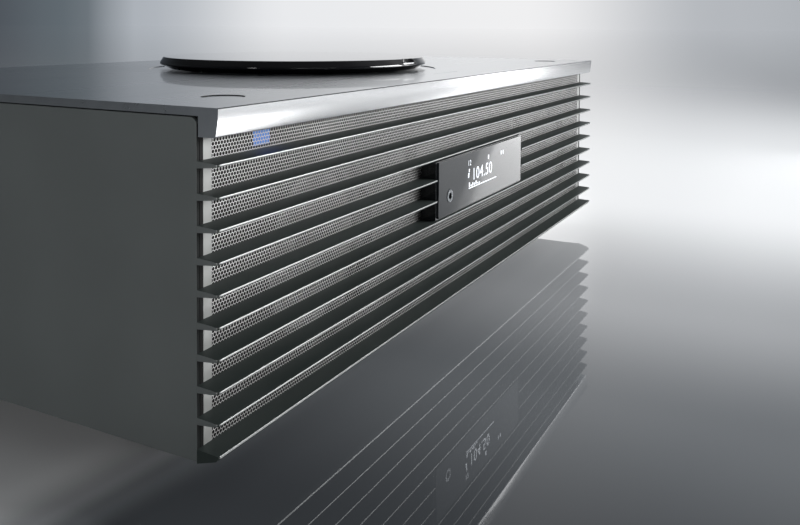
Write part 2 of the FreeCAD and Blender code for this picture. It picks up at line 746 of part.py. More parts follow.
def make_well():
    """Moulded well for the disc, hung under the top panel, open for the hub and the pickup."""
    under = "well_floor - well_wall"
    well = turned("well_body", [
        ("well_eye", under),
        ("well_radius + well_wall", under),
        ("well_radius + well_wall", "deck_top - deck_plate - 2.2"),
        ("well_flange", "deck_top - deck_plate - 2.2"),
        ("well_flange", "deck_top - deck_plate - 0.1"),
        ("well_radius + well_wall", "deck_top - deck_plate - 0.1"),
        ("well_radius + well_wall", "deck_top - recess_drop - 0.1"),
        ("well_radius", "deck_top - recess_drop - 0.1"),
        ("well_radius", "well_floor"),
        ("well_eye", "well_floor"),
    ])
    place(well, ("0", "-disc_ahead", "0"))
    slot = block("pickup_slot", ("-slot_start", "-disc_ahead - 9", f"{under} - 1"), "51", "18", "6")
    keep(pierced("disc_well_cut", well, [slot]), "disc_well")


def make_player():
    """Hub and motor, and a pickup sled driven along two rods by a lead screw."""
    hub = turned("disc_hub", [
        ("0", "plate_low + 5"),
        ("stem_radius", "plate_low + 5"),
        ("stem_radius", "disc_rest - 1.5"),
        ("14", "disc_rest - 1.5"),
        ("14", "disc_rest"),
        ("hub_radius", "disc_rest"),
        ("hub_radius", "disc_rest + 2.6"),
        ("hub_radius - 1.6", "disc_rest + 4.4"),
        ("0", "disc_rest + 4.4"),
    ])
    keep(place(hub, ("0", "-disc_ahead", "0")), "disc_hub")
    motor = rod("motor_can", ("0", "-disc_ahead", "motor_low"), "motor_radius", "plate_low - motor_low")
    boss = rod("motor_boss", ("0", "-disc_ahead", "plate_low"), "4", "4.7")
    keep(joined("motor", [motor, boss]), "spindle_motor")

    plate_top = "plate_low + plate_sheet"
    below = "plate_low - 1"
    plate = block("mechanism_plate", ("-plate_left", "-disc_ahead - 42", "plate_low"),
                  "plate_left + 40", "84", "plate_sheet")
    room = block("mechanism_room", ("6 - plate_left", "-disc_ahead - 16", below), "57", "32", "4")
    hole = rod("mechanism_hole", ("0", "-disc_ahead", below), "4.2", "4")
    rests, bores = [], []
    for along, radius in (("-rod_spread", "rod_radius"), ("rod_spread", "rod_radius"),
                          ("screw_spread", "rod_radius + 0.05")):
        for start in ("1 - plate_left", "-7.5"):
            rests.append(block("rod_rest", (start, f"{along} - disc_ahead - 3", plate_top),
                               "4", "6", f"rail_height - ({plate_top}) + 2.7"))
        bore_start = ("-plate_left - 1", f"{along} - disc_ahead", "rail_height")
        bores.append(rod("rod_bore", bore_start, radius, "75", TO_RIGHT))
    frame = joined("mechanism_body", [plate] + rests)
    keep(pierced("mechanism_frame_cut", frame, [room, hole] + bores), "mechanism_frame")

    rods = [rod("guide_rod", ("0.5 - plate_left", f"{along} - disc_ahead", "rail_height"),
                "rod_radius", "69", TO_RIGHT) for along in ("-rod_spread", "rod_spread")]
    keep(together("guide_rods", rods), "guide_rods")

    sled = block("sled_block", ("-lens_start - 8", "-disc_ahead - 26", "sled_low"), "16", "52", "6.2")
    nut = block("sled_nut", ("-lens_start - 5", "-disc_ahead + 26", "sled_low + 0.2"), "10", "7.5", "5.6")
    carrier = block("lens_carrier", ("-lens_start - 3.5", "-disc_ahead - 7", "sled_low + 6.2"),
                    "7", "14", "4.4")
    ways = []
    for along, radius in (("-rod_spread", "rod_radius + 0.05"), ("rod_spread", "rod_radius + 0.05"),
                          ("screw_spread", "rod_radius + 0.3")):
        way_start = ("-lens_start - 9", f"{along} - disc_ahead", "rail_height")
        ways.append(rod("sled_bore", way_start, radius, "18", TO_RIGHT))
    keep(pierced("pickup_sled_cut", joined("sled_whole", [sled, nut, carrier]), ways), "pickup_sled")
    lens = turned("pickup_lens", [
        ("0", "lens_base"),
        ("2.6", "lens_base"),
        ("2.6", "lens_base + 0.8"),
        ("1.4", "lens_base + 1.6"),
        ("0", "lens_base + 1.8"),
    ])
    keep(place(lens, ("-lens_start", "-disc_ahead", "0")), "pickup_lens")

    screw_line = "screw_spread - disc_ahead"
    screw = rod("screw_rod", ("-plate_left - 0.5", screw_line, "rail_height"), "rod_radius", "70", TO_RIGHT)
    keep(screw, "lead_screw")
    can = rod("sled_can", ("-plate_left - 18", screw_line, "rail_height"), "5", "17.3", TO_RIGHT)
    strap = block("sled_strap", ("-plate_left - 16", screw_line + " - 3", "plate_low - 2"), "12", "6", "4")
    keep(joined("sled_motor_whole", [can, strap]), "sled_motor")

    dampers = []
    for across in ("-62", "32"):
        for along in ("-38", "38"):
            dampers.append(rod("damper", (across, f"{along} - disc_ahead", plate_top), "3",
                               f"well_floor - well_wall - ({plate_top})"))
    keep(together("dampers", dampers), "dampers")


# ---------------------------------------------------------------------------------------------
# Speakers
# ---------------------------------------------------------------------------------------------
def speaker(name, flange, position, turn):
    """Frame with a rubber surround, magnet with a ring gap, and a cone with its coil.

    Each is turned about Z, fires along +Z and has its flange's back face at zero.
    """
    gap = "cone_gap"
    frame = turned(name + "_frame", [
        (f"{flange} - 4.5", "0"),
        (flange, "0"),
        (flange, "-3"),
        (f"{flange} - 5", "-3"),
        ("basket_radius", "3 - basket_depth"),
        ("basket_radius", "-basket_depth"),
        ("13", "-basket_depth"),
        ("13", "1.5 - basket_depth"),
        ("basket_radius - 3", "1.5 - basket_depth"),
        ("basket_radius - 3", "4 - basket_depth"),
        (f"{flange} - 6.5", "-3"),
        (f"{flange} - 9", "-1.5"),
        (f"{flange} - 6.8", "0.7"),
    ])
    magnet = turned(name + "_magnet", [
        ("0", "-basket_depth"),
        ("8.3", "-basket_depth"),
        ("8.3", "4 - magnet_depth"),
        ("11.7", "4 - magnet_depth"),
        ("11.7", "-basket_depth"),
        ("magnet_radius", "-basket_depth"),
        ("magnet_radius", "-magnet_depth"),
        ("0", "-magnet_depth"),
    ])
    rim = f"{flange} - 9 - {gap}"
    cone = turned(name + "_cone", [
        (rim, "-1.5"),
        (rim, "-2.7"),
        ("10.4", "-19"),
        ("10.4", "-36"),
        ("9.6", "-36"),
        ("9.6", "-17.5"),
        ("0", "-14.5"),
        ("0", "-13.5"),
        ("10", "-16.5"),
    ])
    for piece in (frame, magnet, cone):
        place(piece, position, turn)
    return frame, magnet, cone


def make_speakers():
    """Two front woofers, two tweeters and a subwoofer that fires at the floor."""
    behind = "frame_depth + grille_sheet - grille_plane"
    magnets, tweeters = [], []
    for name, side in SIDES.items():
        position = (side + " * woofer_across", behind, "woofer_height")
        frame, magnet, cone = speaker("woofer_" + name, "woofer_flange", position, TO_FRONT)
        keep(frame, "woofer_frame_" + name)
        keep(cone, "woofer_cone_" + name)
        magnets.append(magnet)
        tweeter = turned("tweeter_" + name, [
            ("0", "3"),
            ("6", "1"),
            ("8", "0"),
            ("tweeter_flange", "0"),
            ("tweeter_flange", "-3"),
            ("12", "-3"),
            ("12", "-16"),
            ("0", "-16"),
        ])
        tweeter_place = (side + " * tweeter_across", behind, "tweeter_height")
        tweeters.append(place(tweeter, tweeter_place, TO_FRONT))
    sub_place = ("0", "-disc_ahead", "case_bottom + sheet")
    frame, magnet, cone = speaker("subwoofer", "sub_flange", sub_place, FLIPPED)
    keep(frame, "subwoofer_frame")
    keep(cone, "subwoofer_cone")
    keep(together("speaker_magnets", magnets + [magnet]), "speaker_magnets")
    keep(together("tweeters", tweeters), "tweeters")


def make_speaker_boxes():
    """A closed box behind each woofer and over the subwoofer."""
    floor = "case_bottom + sheet + fit_gap"
    front = "frame_depth + grille_sheet - grille_plane"
    for name, side in SIDES.items():
        corner = (f"{side} * box_inner + ({side} - 1) / 2 * (box_outer - box_inner)", front, floor)
        outer = block("box_outer_" + name, corner, "box_outer - box_inner",
                      f"box_back - ({front})", f"box_top - ({floor})")
        inside = (corner[0] + " + box_wall", f"{front} - 1", f"{floor} + box_wall")
        room = block("box_room_" + name, inside, "box_outer - box_inner - 2 * box_wall",
                     f"box_back - ({front}) + 1 - box_wall", f"box_top - ({floor}) - 2 * box_wall")
        keep(pierced("speaker_box_cut_" + name, outer, [room]), "speaker_box_" + name)
    outer = block("sub_outer", ("-sub_half", "-disc_ahead - sub_along", floor),
                  "2 * sub_half", "2 * sub_along", f"sub_top - ({floor})")
    room = block("sub_room", ("box_wall - sub_half", "box_wall - disc_ahead - sub_along", f"{floor} - 1"),
                 "2 * (sub_half - box_wall)", "2 * (sub_along - box_wall)", f"sub_top - 2 - ({floor})")
    keep(pierced("sub_box_cut", outer, [room]), "subwoofer_box")


# ---------------------------------------------------------------------------------------------
# Electronics
# ---------------------------------------------------------------------------------------------
# low corner across and along, width, depth and height
CHIPS = [
    (-40, 70, 24, 24, 2), (0, 66, 18, 18, 1.6), (30, 68, 30, 22, 4), (72, 66, 14, 20, 1.6),
    (-44, 100, 10, 10, 8), (-30, 100, 10, 10, 8), (184, 70, 12, 26, 5),
]
VANE_STEP = 6.7
VANES = 11


def make_electronics():
    """Main board and power board behind the speaker boxes."""
    top = "board_height + board_sheet"
    keep(block("main_sheet", ("-60", "58", "board_height"), "270", "60", "board_sheet"), "main_board")
    chips = [block("chip", (x, y, top), width, depth, height) for x, y, width, depth, height in CHIPS]
    keep(together("board_parts", chips), "board_parts")
    plate = block("sink_base", ("100", "64", top), "70", "34", "4")
    vanes = [block("sink_vane", (100 + VANE_STEP * index, "64", f"{top} + 4"), "3", "34", "26")
             for index in range(VANES)]
    keep(joined("heat_sink_whole", [plate] + vanes), "heat_sink")
    keep(block("power_sheet", ("-214", "58", "board_height"), "136", "60", "board_sheet"), "power_board")
    core = block("core", ("-200", "66", top), "46", "38", "34")
    coil = block("coil", ("-205", "72", f"{top} + 6"), "56", "26", "22")
    keep(joined("transformer_whole", [core, coil]), "transformer")


REAR_SCREW_COLUMNS = (-210, -75, 0, 75, 210)
REAR_SCREW_ROWS = (28, 122)


def make_screws(foot_screws):
    """Rear panel screws and the screws that hold the feet."""
    screws = list(foot_screws)
    for x in REAR_SCREW_COLUMNS:
        for z in REAR_SCREW_ROWS:
            screws.append(rod("rear_screw", (x, "case_rear", z), "screw_head", "screw_proud", TO_BACK))
    keep(together("screws", screws), "screws")


make_top_panel()
make_side_panels()
make_base_tray()
make_rear_panel()
make_sockets()
foot_screws = make_feet()
make_front_frame()
make_grille()
make_fins()
make_bottom_lip()
make_display()
make_status_light()
make_buttons()
make_lid()
make_well()
make_player()
make_speakers()
make_speaker_boxes()
make_electronics()
make_screws(foot_screws)
doc.recompute()

for item in doc.Objects:
    assert not {"Invalid", "Error"} & set(item.State), item.Name + " failed"
for piece in sub_parts:
    shape = piece.Shape
    assert not shape.isNull() and shape.isValid(), piece.Label + " has no valid shape"

os.makedirs("parts", exist_ok=True)
for piece in sub_parts:
    piece.Shape.exportStep(f"parts/{piece.Label}.step")
print(len(sub_parts), "sub-parts")
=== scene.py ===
import bpy
import bmesh
import math
from mathutils import Matrix, Vector


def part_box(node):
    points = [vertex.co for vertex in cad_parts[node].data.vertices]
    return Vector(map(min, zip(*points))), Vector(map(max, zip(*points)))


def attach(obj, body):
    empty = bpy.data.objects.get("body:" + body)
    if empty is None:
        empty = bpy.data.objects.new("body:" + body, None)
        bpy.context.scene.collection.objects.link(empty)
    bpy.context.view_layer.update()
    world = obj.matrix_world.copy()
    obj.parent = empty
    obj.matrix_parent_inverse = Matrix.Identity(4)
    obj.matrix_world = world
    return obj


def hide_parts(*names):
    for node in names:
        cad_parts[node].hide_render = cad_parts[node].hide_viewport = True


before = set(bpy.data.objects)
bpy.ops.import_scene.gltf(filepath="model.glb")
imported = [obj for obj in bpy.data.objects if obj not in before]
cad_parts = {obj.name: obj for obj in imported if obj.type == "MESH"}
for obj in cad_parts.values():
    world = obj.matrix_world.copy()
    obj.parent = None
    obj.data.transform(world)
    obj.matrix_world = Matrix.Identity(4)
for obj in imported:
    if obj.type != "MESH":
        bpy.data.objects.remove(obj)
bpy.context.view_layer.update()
MM = 0.001

# ---- Camera -------------------------------------------------------------------------------
# A close view from the left end, just above the top panel, looking along the front.
camera_place = Vector((-0.4308, -0.3192, 0.1626))
heading, dip, tilt = math.radians(63.59), math.radians(1.76), math.radians(0.40)
lens_mm, shift_across, shift_up = 36.72, -0.0388, -0.264
camera_data = bpy.data.cameras.new("camera")
camera_data.sensor_width = 36
camera_data.lens = lens_mm
camera_data.shift_x = shift_across
camera_data.shift_y = shift_up
camera_data.clip_start = 0.01
camera = bpy.data.objects.new("camera", camera_data)
camera.matrix_world = (Matrix.Translation(camera_place) @ Matrix.Rotation(-heading, 4, "Z")
                       @ Matrix.Rotation(math.pi / 2 - dip, 4, "X") @ Matrix.Rotation(tilt, 4, "Z"))
bpy.context.collection.objects.link(camera)
bpy.context.scene.camera = camera


# ---- Studio -------------------------------------------------------------------------------
# A polished sheet meets a backdrop. Its colour is painted light and shade: charcoal at the front left, and
# pale to the right and behind the case.
# A wide softbox to the right lights the front, and weaker ones light the top and the left end.
def node_in(tree, kind, **values):
    """A new node, with some of its properties set."""
    node = tree.nodes.new(kind)
    for name, value in values.items():
        setattr(node, name, value)
    return node


def ramp(tree, factor, stops):
    """A colour ramp driven by a factor, from (position, grey or colour) stops."""
    node = node_in(tree, "ShaderNodeValToRGB")
    tree.links.new(factor, node.inputs["Fac"])
    node.color_ramp.interpolation = "EASE"
    for index, (place, colour) in enumerate(stops):
        tint = (colour,) * 3 if isinstance(colour, (int, float)) else colour
        stop = node.color_ramp.elements[index] if index < 2 else node.color_ramp.elements.new(place)
        stop.position = place
        stop.color = (*tint, 1)
    return node.outputs["Color"]


def start_material(name, colour, roughness, metallic=0.0):
    """A material with its plain values set on the shader."""
    mat = bpy.data.materials.new(name)
    mat.use_nodes = True
    shader = mat.node_tree.nodes["Principled BSDF"]
    shader.inputs["Base Color"].default_value = (*colour, 1)
    shader.inputs["Roughness"].default_value = roughness
    shader.inputs["Metallic"].default_value = metallic
    return mat, mat.node_tree, shader


world = bpy.data.worlds.new("studio")
bpy.context.scene.world = world
world.use_nodes = True
sky = world.node_tree
direction = node_in(sky, "ShaderNodeTexCoord")
split = node_in(sky, "ShaderNodeSeparateXYZ")
sky.links.new(direction.outputs["Generated"], split.inputs[0])
turn = node_in(sky, "ShaderNodeMath", operation="ARCTAN2")
sky.links.new(split.outputs["X"], turn.inputs[0])
sky.links.new(split.outputs["Y"], turn.inputs[1])
around = node_in(sky, "ShaderNodeMapRange")
around.inputs["From Min"].default_value = -math.pi
around.inputs["From Max"].default_value = math.pi
sky.links.new(turn.outputs[0], around.inputs["Value"])


def heading_stop(degrees):
    """Place of a compass heading on the ramp; 0 is +Y and 90 is +X."""
    return (degrees + 180) / 360


backdrop = ramp(sky, around.outputs[0], [
    (heading_stop(-180), (0.06, 0.06, 0.065)),
    (heading_stop(179), (0.06, 0.06, 0.065)),
    (heading_stop(-75), (0.04, 0.04, 0.045)),
    (heading_stop(-45), (0.10, 0.107, 0.11)),
    (heading_stop(-5), (0.08, 0.09, 0.095)),
    (heading_stop(34), (0.07, 0.08, 0.095)),
    (heading_stop(40), (0.12, 0.145, 0.165)),
    (heading_stop(44), (0.42, 0.45, 0.49)),
    (heading_stop(54), (0.82, 0.83, 0.85)),
    (heading_stop(70), (0.87, 0.87, 0.88)),
    (heading_stop(83), (0.46, 0.48, 0.51)),
    (heading_stop(100), (0.32, 0.35, 0.38)),
    (heading_stop(102.5), (0.38, 0.41, 0.44)),
    (heading_stop(107.5), (1.0, 1.01, 1.03)),
    (heading_stop(122), (1.45, 1.46, 1.48)),
    (heading_stop(136), (0.82, 0.84, 0.86)),
])
height_fade = ramp(sky, split.outputs["Z"], [(0.20, 1.0), (0.50, 0.40)])
faded = node_in(sky, "ShaderNodeVectorMath", operation="MULTIPLY")
sky.links.new(backdrop, faded.inputs[0])
sky.links.new(height_fade, faded.inputs[1])


def glow_at(compass, elevation, reach, power):
    """Brightness that fades with the angle from one direction of the studio."""
    flat, up = math.radians(compass), math.radians(elevation)
    near = node_in(sky, "ShaderNodeVectorMath", operation="DOT_PRODUCT")
    sky.links.new(direction.outputs["Generated"], near.inputs[0])
    level = math.cos(up)
    near.inputs[1].default_value = (level * math.sin(flat), level * math.cos(flat), math.sin(up))
    fade = node_in(sky, "ShaderNodeMapRange", interpolation_type="SMOOTHSTEP")
    sky.links.new(near.outputs["Value"], fade.inputs["Value"])
    fade.inputs["From Min"].default_value = math.cos(math.radians(reach))
    fade.inputs["From Max"].default_value = math.cos(math.radians(3))
    fade.inputs["To Max"].default_value = power
    return fade.outputs[0]


# The glows stand for high lamps out of sight: they show in reflections and not directly.
ray = node_in(sky, "ShaderNodeLightPath")
unseen = node_in(sky, "ShaderNodeMath", operation="SUBTRACT")
unseen.inputs[0].default_value = 1.0
sky.links.new(ray.outputs["Is Camera Ray"], unseen.inputs[1])
light_sum = faded.outputs[0]
for glow in (glow_at(78, 14, 14, 0.25), glow_at(65, 15, 11, 1.0), glow_at(0, 90, 75, 0.08)):
    shown = node_in(sky, "ShaderNodeMath", operation="MULTIPLY")
    sky.links.new(glow, shown.inputs[0])
    sky.links.new(unseen.outputs[0], shown.inputs[1])
    total = node_in(sky, "ShaderNodeVectorMath", operation="ADD")
    sky.links.new(light_sum, total.inputs[0])
    sky.links.new(shown.outputs[0], total.inputs[1])
    light_sum = total.outputs[0]
sky.links.new(light_sum, sky.nodes["Background"].inputs["Color"])
sky.nodes["Background"].inputs["Strength"].default_value = 1.0

bpy.context.scene.view_settings.view_transform = "Standard"

bpy.ops.mesh.primitive_plane_add(size=120, location=(0, 0, 0))
floor = bpy.context.object
floor.name = "floor"
bpy.ops.object.transform_apply(location=True, scale=True)
floor_left, floor_right = -0.25, 0.45
floor_front, floor_rear = -0.125, -0.05
floor_mat, floor_tree, floor_shader = start_material("floor_gloss_painted_light", (0.30, 0.31, 0.33), 0.012)
floor_shader.inputs["IOR"].default_value = 1.5
floor_place = node_in(floor_tree, "ShaderNodeTexCoord")
floor_split = node_in(floor_tree, "ShaderNodeSeparateXYZ")
floor_tree.links.new(floor_place.outputs["Object"], floor_split.inputs[0])
# Painted light: the floor grows pale towards the right as a painted pool of light, and is lifted pale
# behind the case's front edge.
floor_painted_across = node_in(floor_tree, "ShaderNodeMapRange")
floor_tree.links.new(floor_split.outputs["X"], floor_painted_across.inputs["Value"])
floor_painted_across.inputs["From Min"].default_value = floor_left
floor_painted_across.inputs["From Max"].default_value = floor_right
floor_painted_behind = node_in(floor_tree, "ShaderNodeMapRange", interpolation_type="SMOOTHSTEP")
floor_tree.links.new(floor_split.outputs["Y"], floor_painted_behind.inputs["Value"])
floor_painted_behind.inputs["From Min"].default_value = floor_front
floor_painted_behind.inputs["From Max"].default_value = floor_rear
floor_painted_behind.inputs["To Max"].default_value = 0.9
floor_painted_light = node_in(floor_tree, "ShaderNodeMath", operation="ADD")
floor_tree.links.new(floor_painted_across.outputs[0], floor_painted_light.inputs[0])
floor_tree.links.new(floor_painted_behind.outputs[0], floor_painted_light.inputs[1])
# This ramp paints light and shade into the floor's colour; it is not a real change of material.
shade = ramp(floor_tree, floor_painted_light.outputs[0], [
    (0.05, (0.040, 0.044, 0.049)),
    (0.24, (0.125, 0.134, 0.144)),
    (0.43, (0.28, 0.29, 0.302)),
    (0.83, (0.66, 0.67, 0.68)),
])
floor_tree.links.new(shade, floor_shader.inputs["Base Color"])
floor.data.materials.append(floor_mat)


def softbox(name, place, aim, size, power, roll=0, colour=(1, 1, 1)):
    """A rectangular studio light aimed at a point and rolled about its own axis."""
    data = bpy.data.lights.new(name, "AREA")
    data.shape = "RECTANGLE"
    data.size, data.size_y = size
    data.energy = power
    data.color = colour
    light = bpy.data.objects.new(name, data)
    light.location = place
    facing = (Vector(aim) - Vector(place)).to_track_quat("-Z", "Y").to_matrix()
    light.rotation_euler = (facing @ Matrix.Rotation(math.radians(roll), 3, "Z")).to_euler()
    light.visible_camera = False
    bpy.context.collection.objects.link(light)
    return light


softbox("front_softbox", (0.75, -1.25, 0.55), (0.0, 0.0, 0.06), (0.9, 0.6), 42)
softbox("overhead_softbox", (0.3, 0.6, 1.5), (0.05, 0.0, 0.1), (1.2, 0.8), 2.5)
softbox("left_softbox", (-1.3, -0.04, 0.16), (-0.2, 0.0, 0.1), (0.16, 0.5), 5.5)
softbox("status_glow", (-0.190, -0.1335, 0.1240), (-0.190, -0.1365, 0.1160), (0.010, 0.002), 0.0005,
        colour=(0.0, 0.12, 1.0))
softbox("edge_card", (0.67, -0.433, 0.163), (0.0, -0.14, 0.05), (0.06, 0.5), 0.50, roll=22)
softbox("edge_card_wide", (0.672, -0.438, 0.163), (0.0, -0.14, 0.05), (0.085, 0.5), 0.30, roll=22)
softbox("rim_card", (-0.96, -1.15, 0.25), (0.0, 0.0, 0.14), (1.0, 0.08), 4.0)


# ---- Shared finishes ----------------------------------------------------------------------
# Brushing and moulding grain are cut into many of the pieces, so each is made once here.
def effect_group(name, inputs, outputs):
    """An empty shader group with float inputs (name, value) and float outputs."""
    group = bpy.data.node_groups.new(name, "ShaderNodeTree")
    for label, value in inputs:
        socket = group.interface.new_socket(label, in_out="INPUT", socket_type="NodeSocketFloat")
        socket.default_value = value
    for label in outputs:
        group.interface.new_socket(label, in_out="OUTPUT", socket_type="NodeSocketFloat")
    return group, node_in(group, "NodeGroupInput"), node_in(group, "NodeGroupOutput")


def noise_at(tree, vector, scale, detail=3.0):
    """A noise texture's value at a vector."""
    noise = node_in(tree, "ShaderNodeTexNoise")
    tree.links.new(vector, noise.inputs["Vector"])
    noise.inputs["Scale"].default_value = scale
    noise.inputs["Detail"].default_value = detail
    return noise.outputs["Fac"]


brushing, brush_in, brush_out = effect_group(
    "brushing", [("Low", 0.2), ("High", 0.4)], ["Height", "Roughness", "Shade"])
brush_place = node_in(brushing, "ShaderNodeTexCoord")
brush_stretch = node_in(brushing, "ShaderNodeVectorMath", operation="MULTIPLY")
brush_stretch.inputs[1].default_value = (0.02, 1.0, 1.0)
brushing.links.new(brush_place.outputs["Object"], brush_stretch.inputs[0])
fine_lines = noise_at(brushing, brush_stretch.outputs[0], 1500, 4)
broad_lines = noise_at(brushing, brush_stretch.outputs[0], 160, 3)
brushing.links.new(fine_lines, brush_out.inputs["Height"])
brush_range = node_in(brushing, "ShaderNodeMapRange")
brushing.links.new(broad_lines, brush_range.inputs["Value"])
brush_range.inputs["From Min"].default_value = 0.3
brush_range.inputs["From Max"].default_value = 0.7
brushing.links.new(brush_in.outputs["Low"], brush_range.inputs["To Min"])
brushing.links.new(brush_in.outputs["High"], brush_range.inputs["To Max"])
brushing.links.new(brush_range.outputs[0], brush_out.inputs["Roughness"])
brushing.links.new(broad_lines, brush_out.inputs["Shade"])

grain, grain_in, grain_out = effect_group(
    "grain", [("Scale", 2000.0), ("Low", 0.4), ("High", 0.5)], ["Height", "Roughness", "Shade"])
grain_place = node_in(grain, "ShaderNodeTexCoord")
grain_noise = node_in(grain, "ShaderNodeTexNoise")
grain.links.new(grain_place.outputs["Object"], grain_noise.inputs["Vector"])
grain.links.new(grain_in.outputs["Scale"], grain_noise.inputs["Scale"])
grain.links.new(grain_noise.outputs["Fac"], grain_out.inputs["Height"])
patches = noise_at(grain, grain_place.outputs["Object"], 30, 4)
grain_range = node_in(grain, "ShaderNodeMapRange")
grain.links.new(patches, grain_range.inputs["Value"])
grain_range.inputs["From Min"].default_value = 0.3
grain_range.inputs["From Max"].default_value = 0.7
grain.links.new(grain_in.outputs["Low"], grain_range.inputs["To Min"])
grain.links.new(grain_in.outputs["High"], grain_range.inputs["To Max"])
grain.links.new(grain_range.outputs[0], grain_out.inputs["Roughness"])
grain.links.new(patches, grain_out.inputs["Shade"])


def finished(name, group, dark, light, roughness, metallic=0.0, bump=0.1, depth=0.0001, scale=None):
    """A material whose colour, roughness and relief come from one of the shared effects."""
    middle = tuple((a + b) / 2 for a, b in zip(dark, light))
    mat, tree, shader = start_material(name, middle, sum(roughness) / 2, metallic)
    effect = node_in(tree, "ShaderNodeGroup", node_tree=group)
    effect.inputs["Low"].default_value, effect.inputs["High"].default_value = roughness
    if scale:
        effect.inputs["Scale"].default_value = scale
    shade = ramp(tree, effect.outputs["Shade"], [(0.3, dark), (0.7, light)])
    tree.links.new(shade, shader.inputs["Base Color"])
    tree.links.new(effect.outputs["Roughness"], shader.inputs["Roughness"])
    relief = node_in(tree, "ShaderNodeBump")
    relief.inputs["Strength"].default_value = bump
    relief.inputs["Distance"].default_value = depth
    tree.links.new(effect.outputs["Height"], relief.inputs["Height"])
    tree.links.new(relief.outputs[0], shader.inputs["Normal"])
    return mat, tree, shader


def dress(node, mat):
    """Give a CAD node its material."""
    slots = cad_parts[node].data.materials
    slots.clear()
    slots.append(mat)


# ---- Top panel ----------------------------------------------------------------------------
# One aluminium extrusion with a rolled nose, brushed from end to end and clear lacquered.
# A shallow round recess is turned into it under the lid, and a thin mark is cut at the front.
deck_mat, _, deck_shader = finished("deck_aluminium", brushing, (0.255, 0.273, 0.293),
                                    (0.270, 0.289, 0.310), (0.27, 0.30), metallic=1.0, bump=0.0)
deck_shader.inputs["Coat Weight"].default_value = 0.35
deck_shader.inputs["Coat Roughness"].default_value = 0.03


def only(piece):
    """Select one object alone, out of edit mode, and make it active."""
    if bpy.context.mode != "OBJECT":
        bpy.ops.object.mode_set(mode="OBJECT")
    bpy.ops.object.select_all(action="DESELECT")
    piece.select_set(True)
    bpy.context.view_layer.objects.active = piece


def choose(piece, kind, test):
    """In edit mode, select only the faces, edges or vertices whose middle passes a test."""
    only(piece)
    bpy.ops.object.mode_set(mode="EDIT")
    bpy.ops.mesh.select_mode(type=kind)
    bpy.ops.mesh.select_all(action="DESELECT")
    mesh = bmesh.from_edit_mesh(piece.data)
    items = {"FACE": mesh.faces, "EDGE": mesh.edges, "VERT": mesh.verts}[kind]
    for item in items:
        if kind == "FACE":
            passed = test(item.calc_center_median(), item.normal)
        elif kind == "EDGE":
            ends = [vert.co for vert in item.verts]
            passed = test((ends[0] + ends[1]) / 2, (ends[1] - ends[0]).normalized())
        else:
            passed = test(item.co, None)
        item.select_set(passed)
    mesh.select_flush_mode()
    bmesh.update_edit_mesh(piece.data)


def leave_edit():
    bpy.ops.object.mode_set(mode="OBJECT")


def applied(piece, kind, **values):
    """Add a modifier and apply it."""
    only(piece)
    modifier = piece.modifiers.new(kind.lower(), kind)
    for name, value in values.items():
        setattr(modifier, name, value)
    bpy.ops.object.modifier_apply(modifier=modifier.name)


def skin(node, body, mat, ease=0.0, smooth=25, corner=50):
    """A CAD piece's own shape as one joined skin: edges eased, curves shaded smooth."""
    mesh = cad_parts[node].data.copy()
    piece = bpy.data.objects.new(node + "_skin", mesh)
    mesh.name = piece.name
    bpy.context.collection.objects.link(piece)
    choose(piece, "FACE", lambda mid, normal: True)
    bpy.ops.mesh.customdata_custom_splitnormals_clear()
    bpy.ops.mesh.remove_doubles(threshold=0.002 * MM)
    if ease:
        bpy.ops.mesh.dissolve_limited(angle_limit=math.radians(1))
    leave_edit()
    if ease:
        applied(piece, "BEVEL", width=ease, segments=3, limit_method="ANGLE",
                angle_limit=math.radians(corner))
        smooth = 60
    mesh.materials.clear()
    mesh.materials.append(mat)
    only(piece)
    bpy.ops.object.shade_smooth_by_angle(angle=math.radians(smooth))
    if ease:
        applied(piece, "WEIGHTED_NORMAL", keep_sharp=True)
    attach(piece, body)
    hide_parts(node)
    return piece


top_panel = skin("top_panel", "case", deck_mat, smooth=20)
# The nose's front faces take a lighter, glossier copy of the deck aluminium. This is partly a bright-cut
# face and partly a painted highlight for the light they face.
nose_highlight_mat, _, nose_highlight_shader = finished("nose_aluminium_painted_highlight", brushing, (0.355, 0.36, 0.365), (0.39, 0.395, 0.40),
                                    (0.13, 0.19), metallic=1.0, bump=0.02)
nose_highlight_shader.inputs["Coat Weight"].default_value = 0.2
nose_highlight_shader.inputs["Coat Roughness"].default_value = 0.08
top_panel.data.materials.append(nose_highlight_mat)
nose_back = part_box("top_panel")[0][1] + 1.5 * MM
# Faces of the nose that face forward get the lighter aluminium, a painted highlight.
for face in top_panel.data.polygons:
    if face.center.y < nose_back and face.normal.y < -0.6:
        face.material_index = 1

# ---- Side panels --------------------------------------------------------------------------
# Pressed steel in charcoal powder coat, with a faint orange-peel surface.
# The cut edge all round is rolled over slightly, and the front faces are painted near-black: a painted
# shade for the fins' shadow.
side_mat, _, _ = finished("side_charcoal", grain, (0.062, 0.070, 0.070), (0.068, 0.077, 0.077),
                          (0.42, 0.5), bump=0.06, scale=1400)
# A near-black finish that paints shade: on the side panels' front faces, on the keys' sides and on the
# deck's walls around the keys.
painted_shade_mat, _, painted_shade_shader = finished("painted_shade_black", grain, (0.004, 0.005, 0.005), (0.007, 0.008, 0.008),
                                    (0.5, 0.6), bump=0.02, scale=2500)
painted_shade_shader.inputs["Specular IOR Level"].default_value = 0.1
for side in ("left", "right"):
    panel = skin("side_panel_" + side, "case", side_mat, ease=0.25 * MM)
    panel.data.materials.append(painted_shade_mat)
    for face in panel.data.polygons:
        face.material_index = 1 if face.normal.y < -0.95 else 0


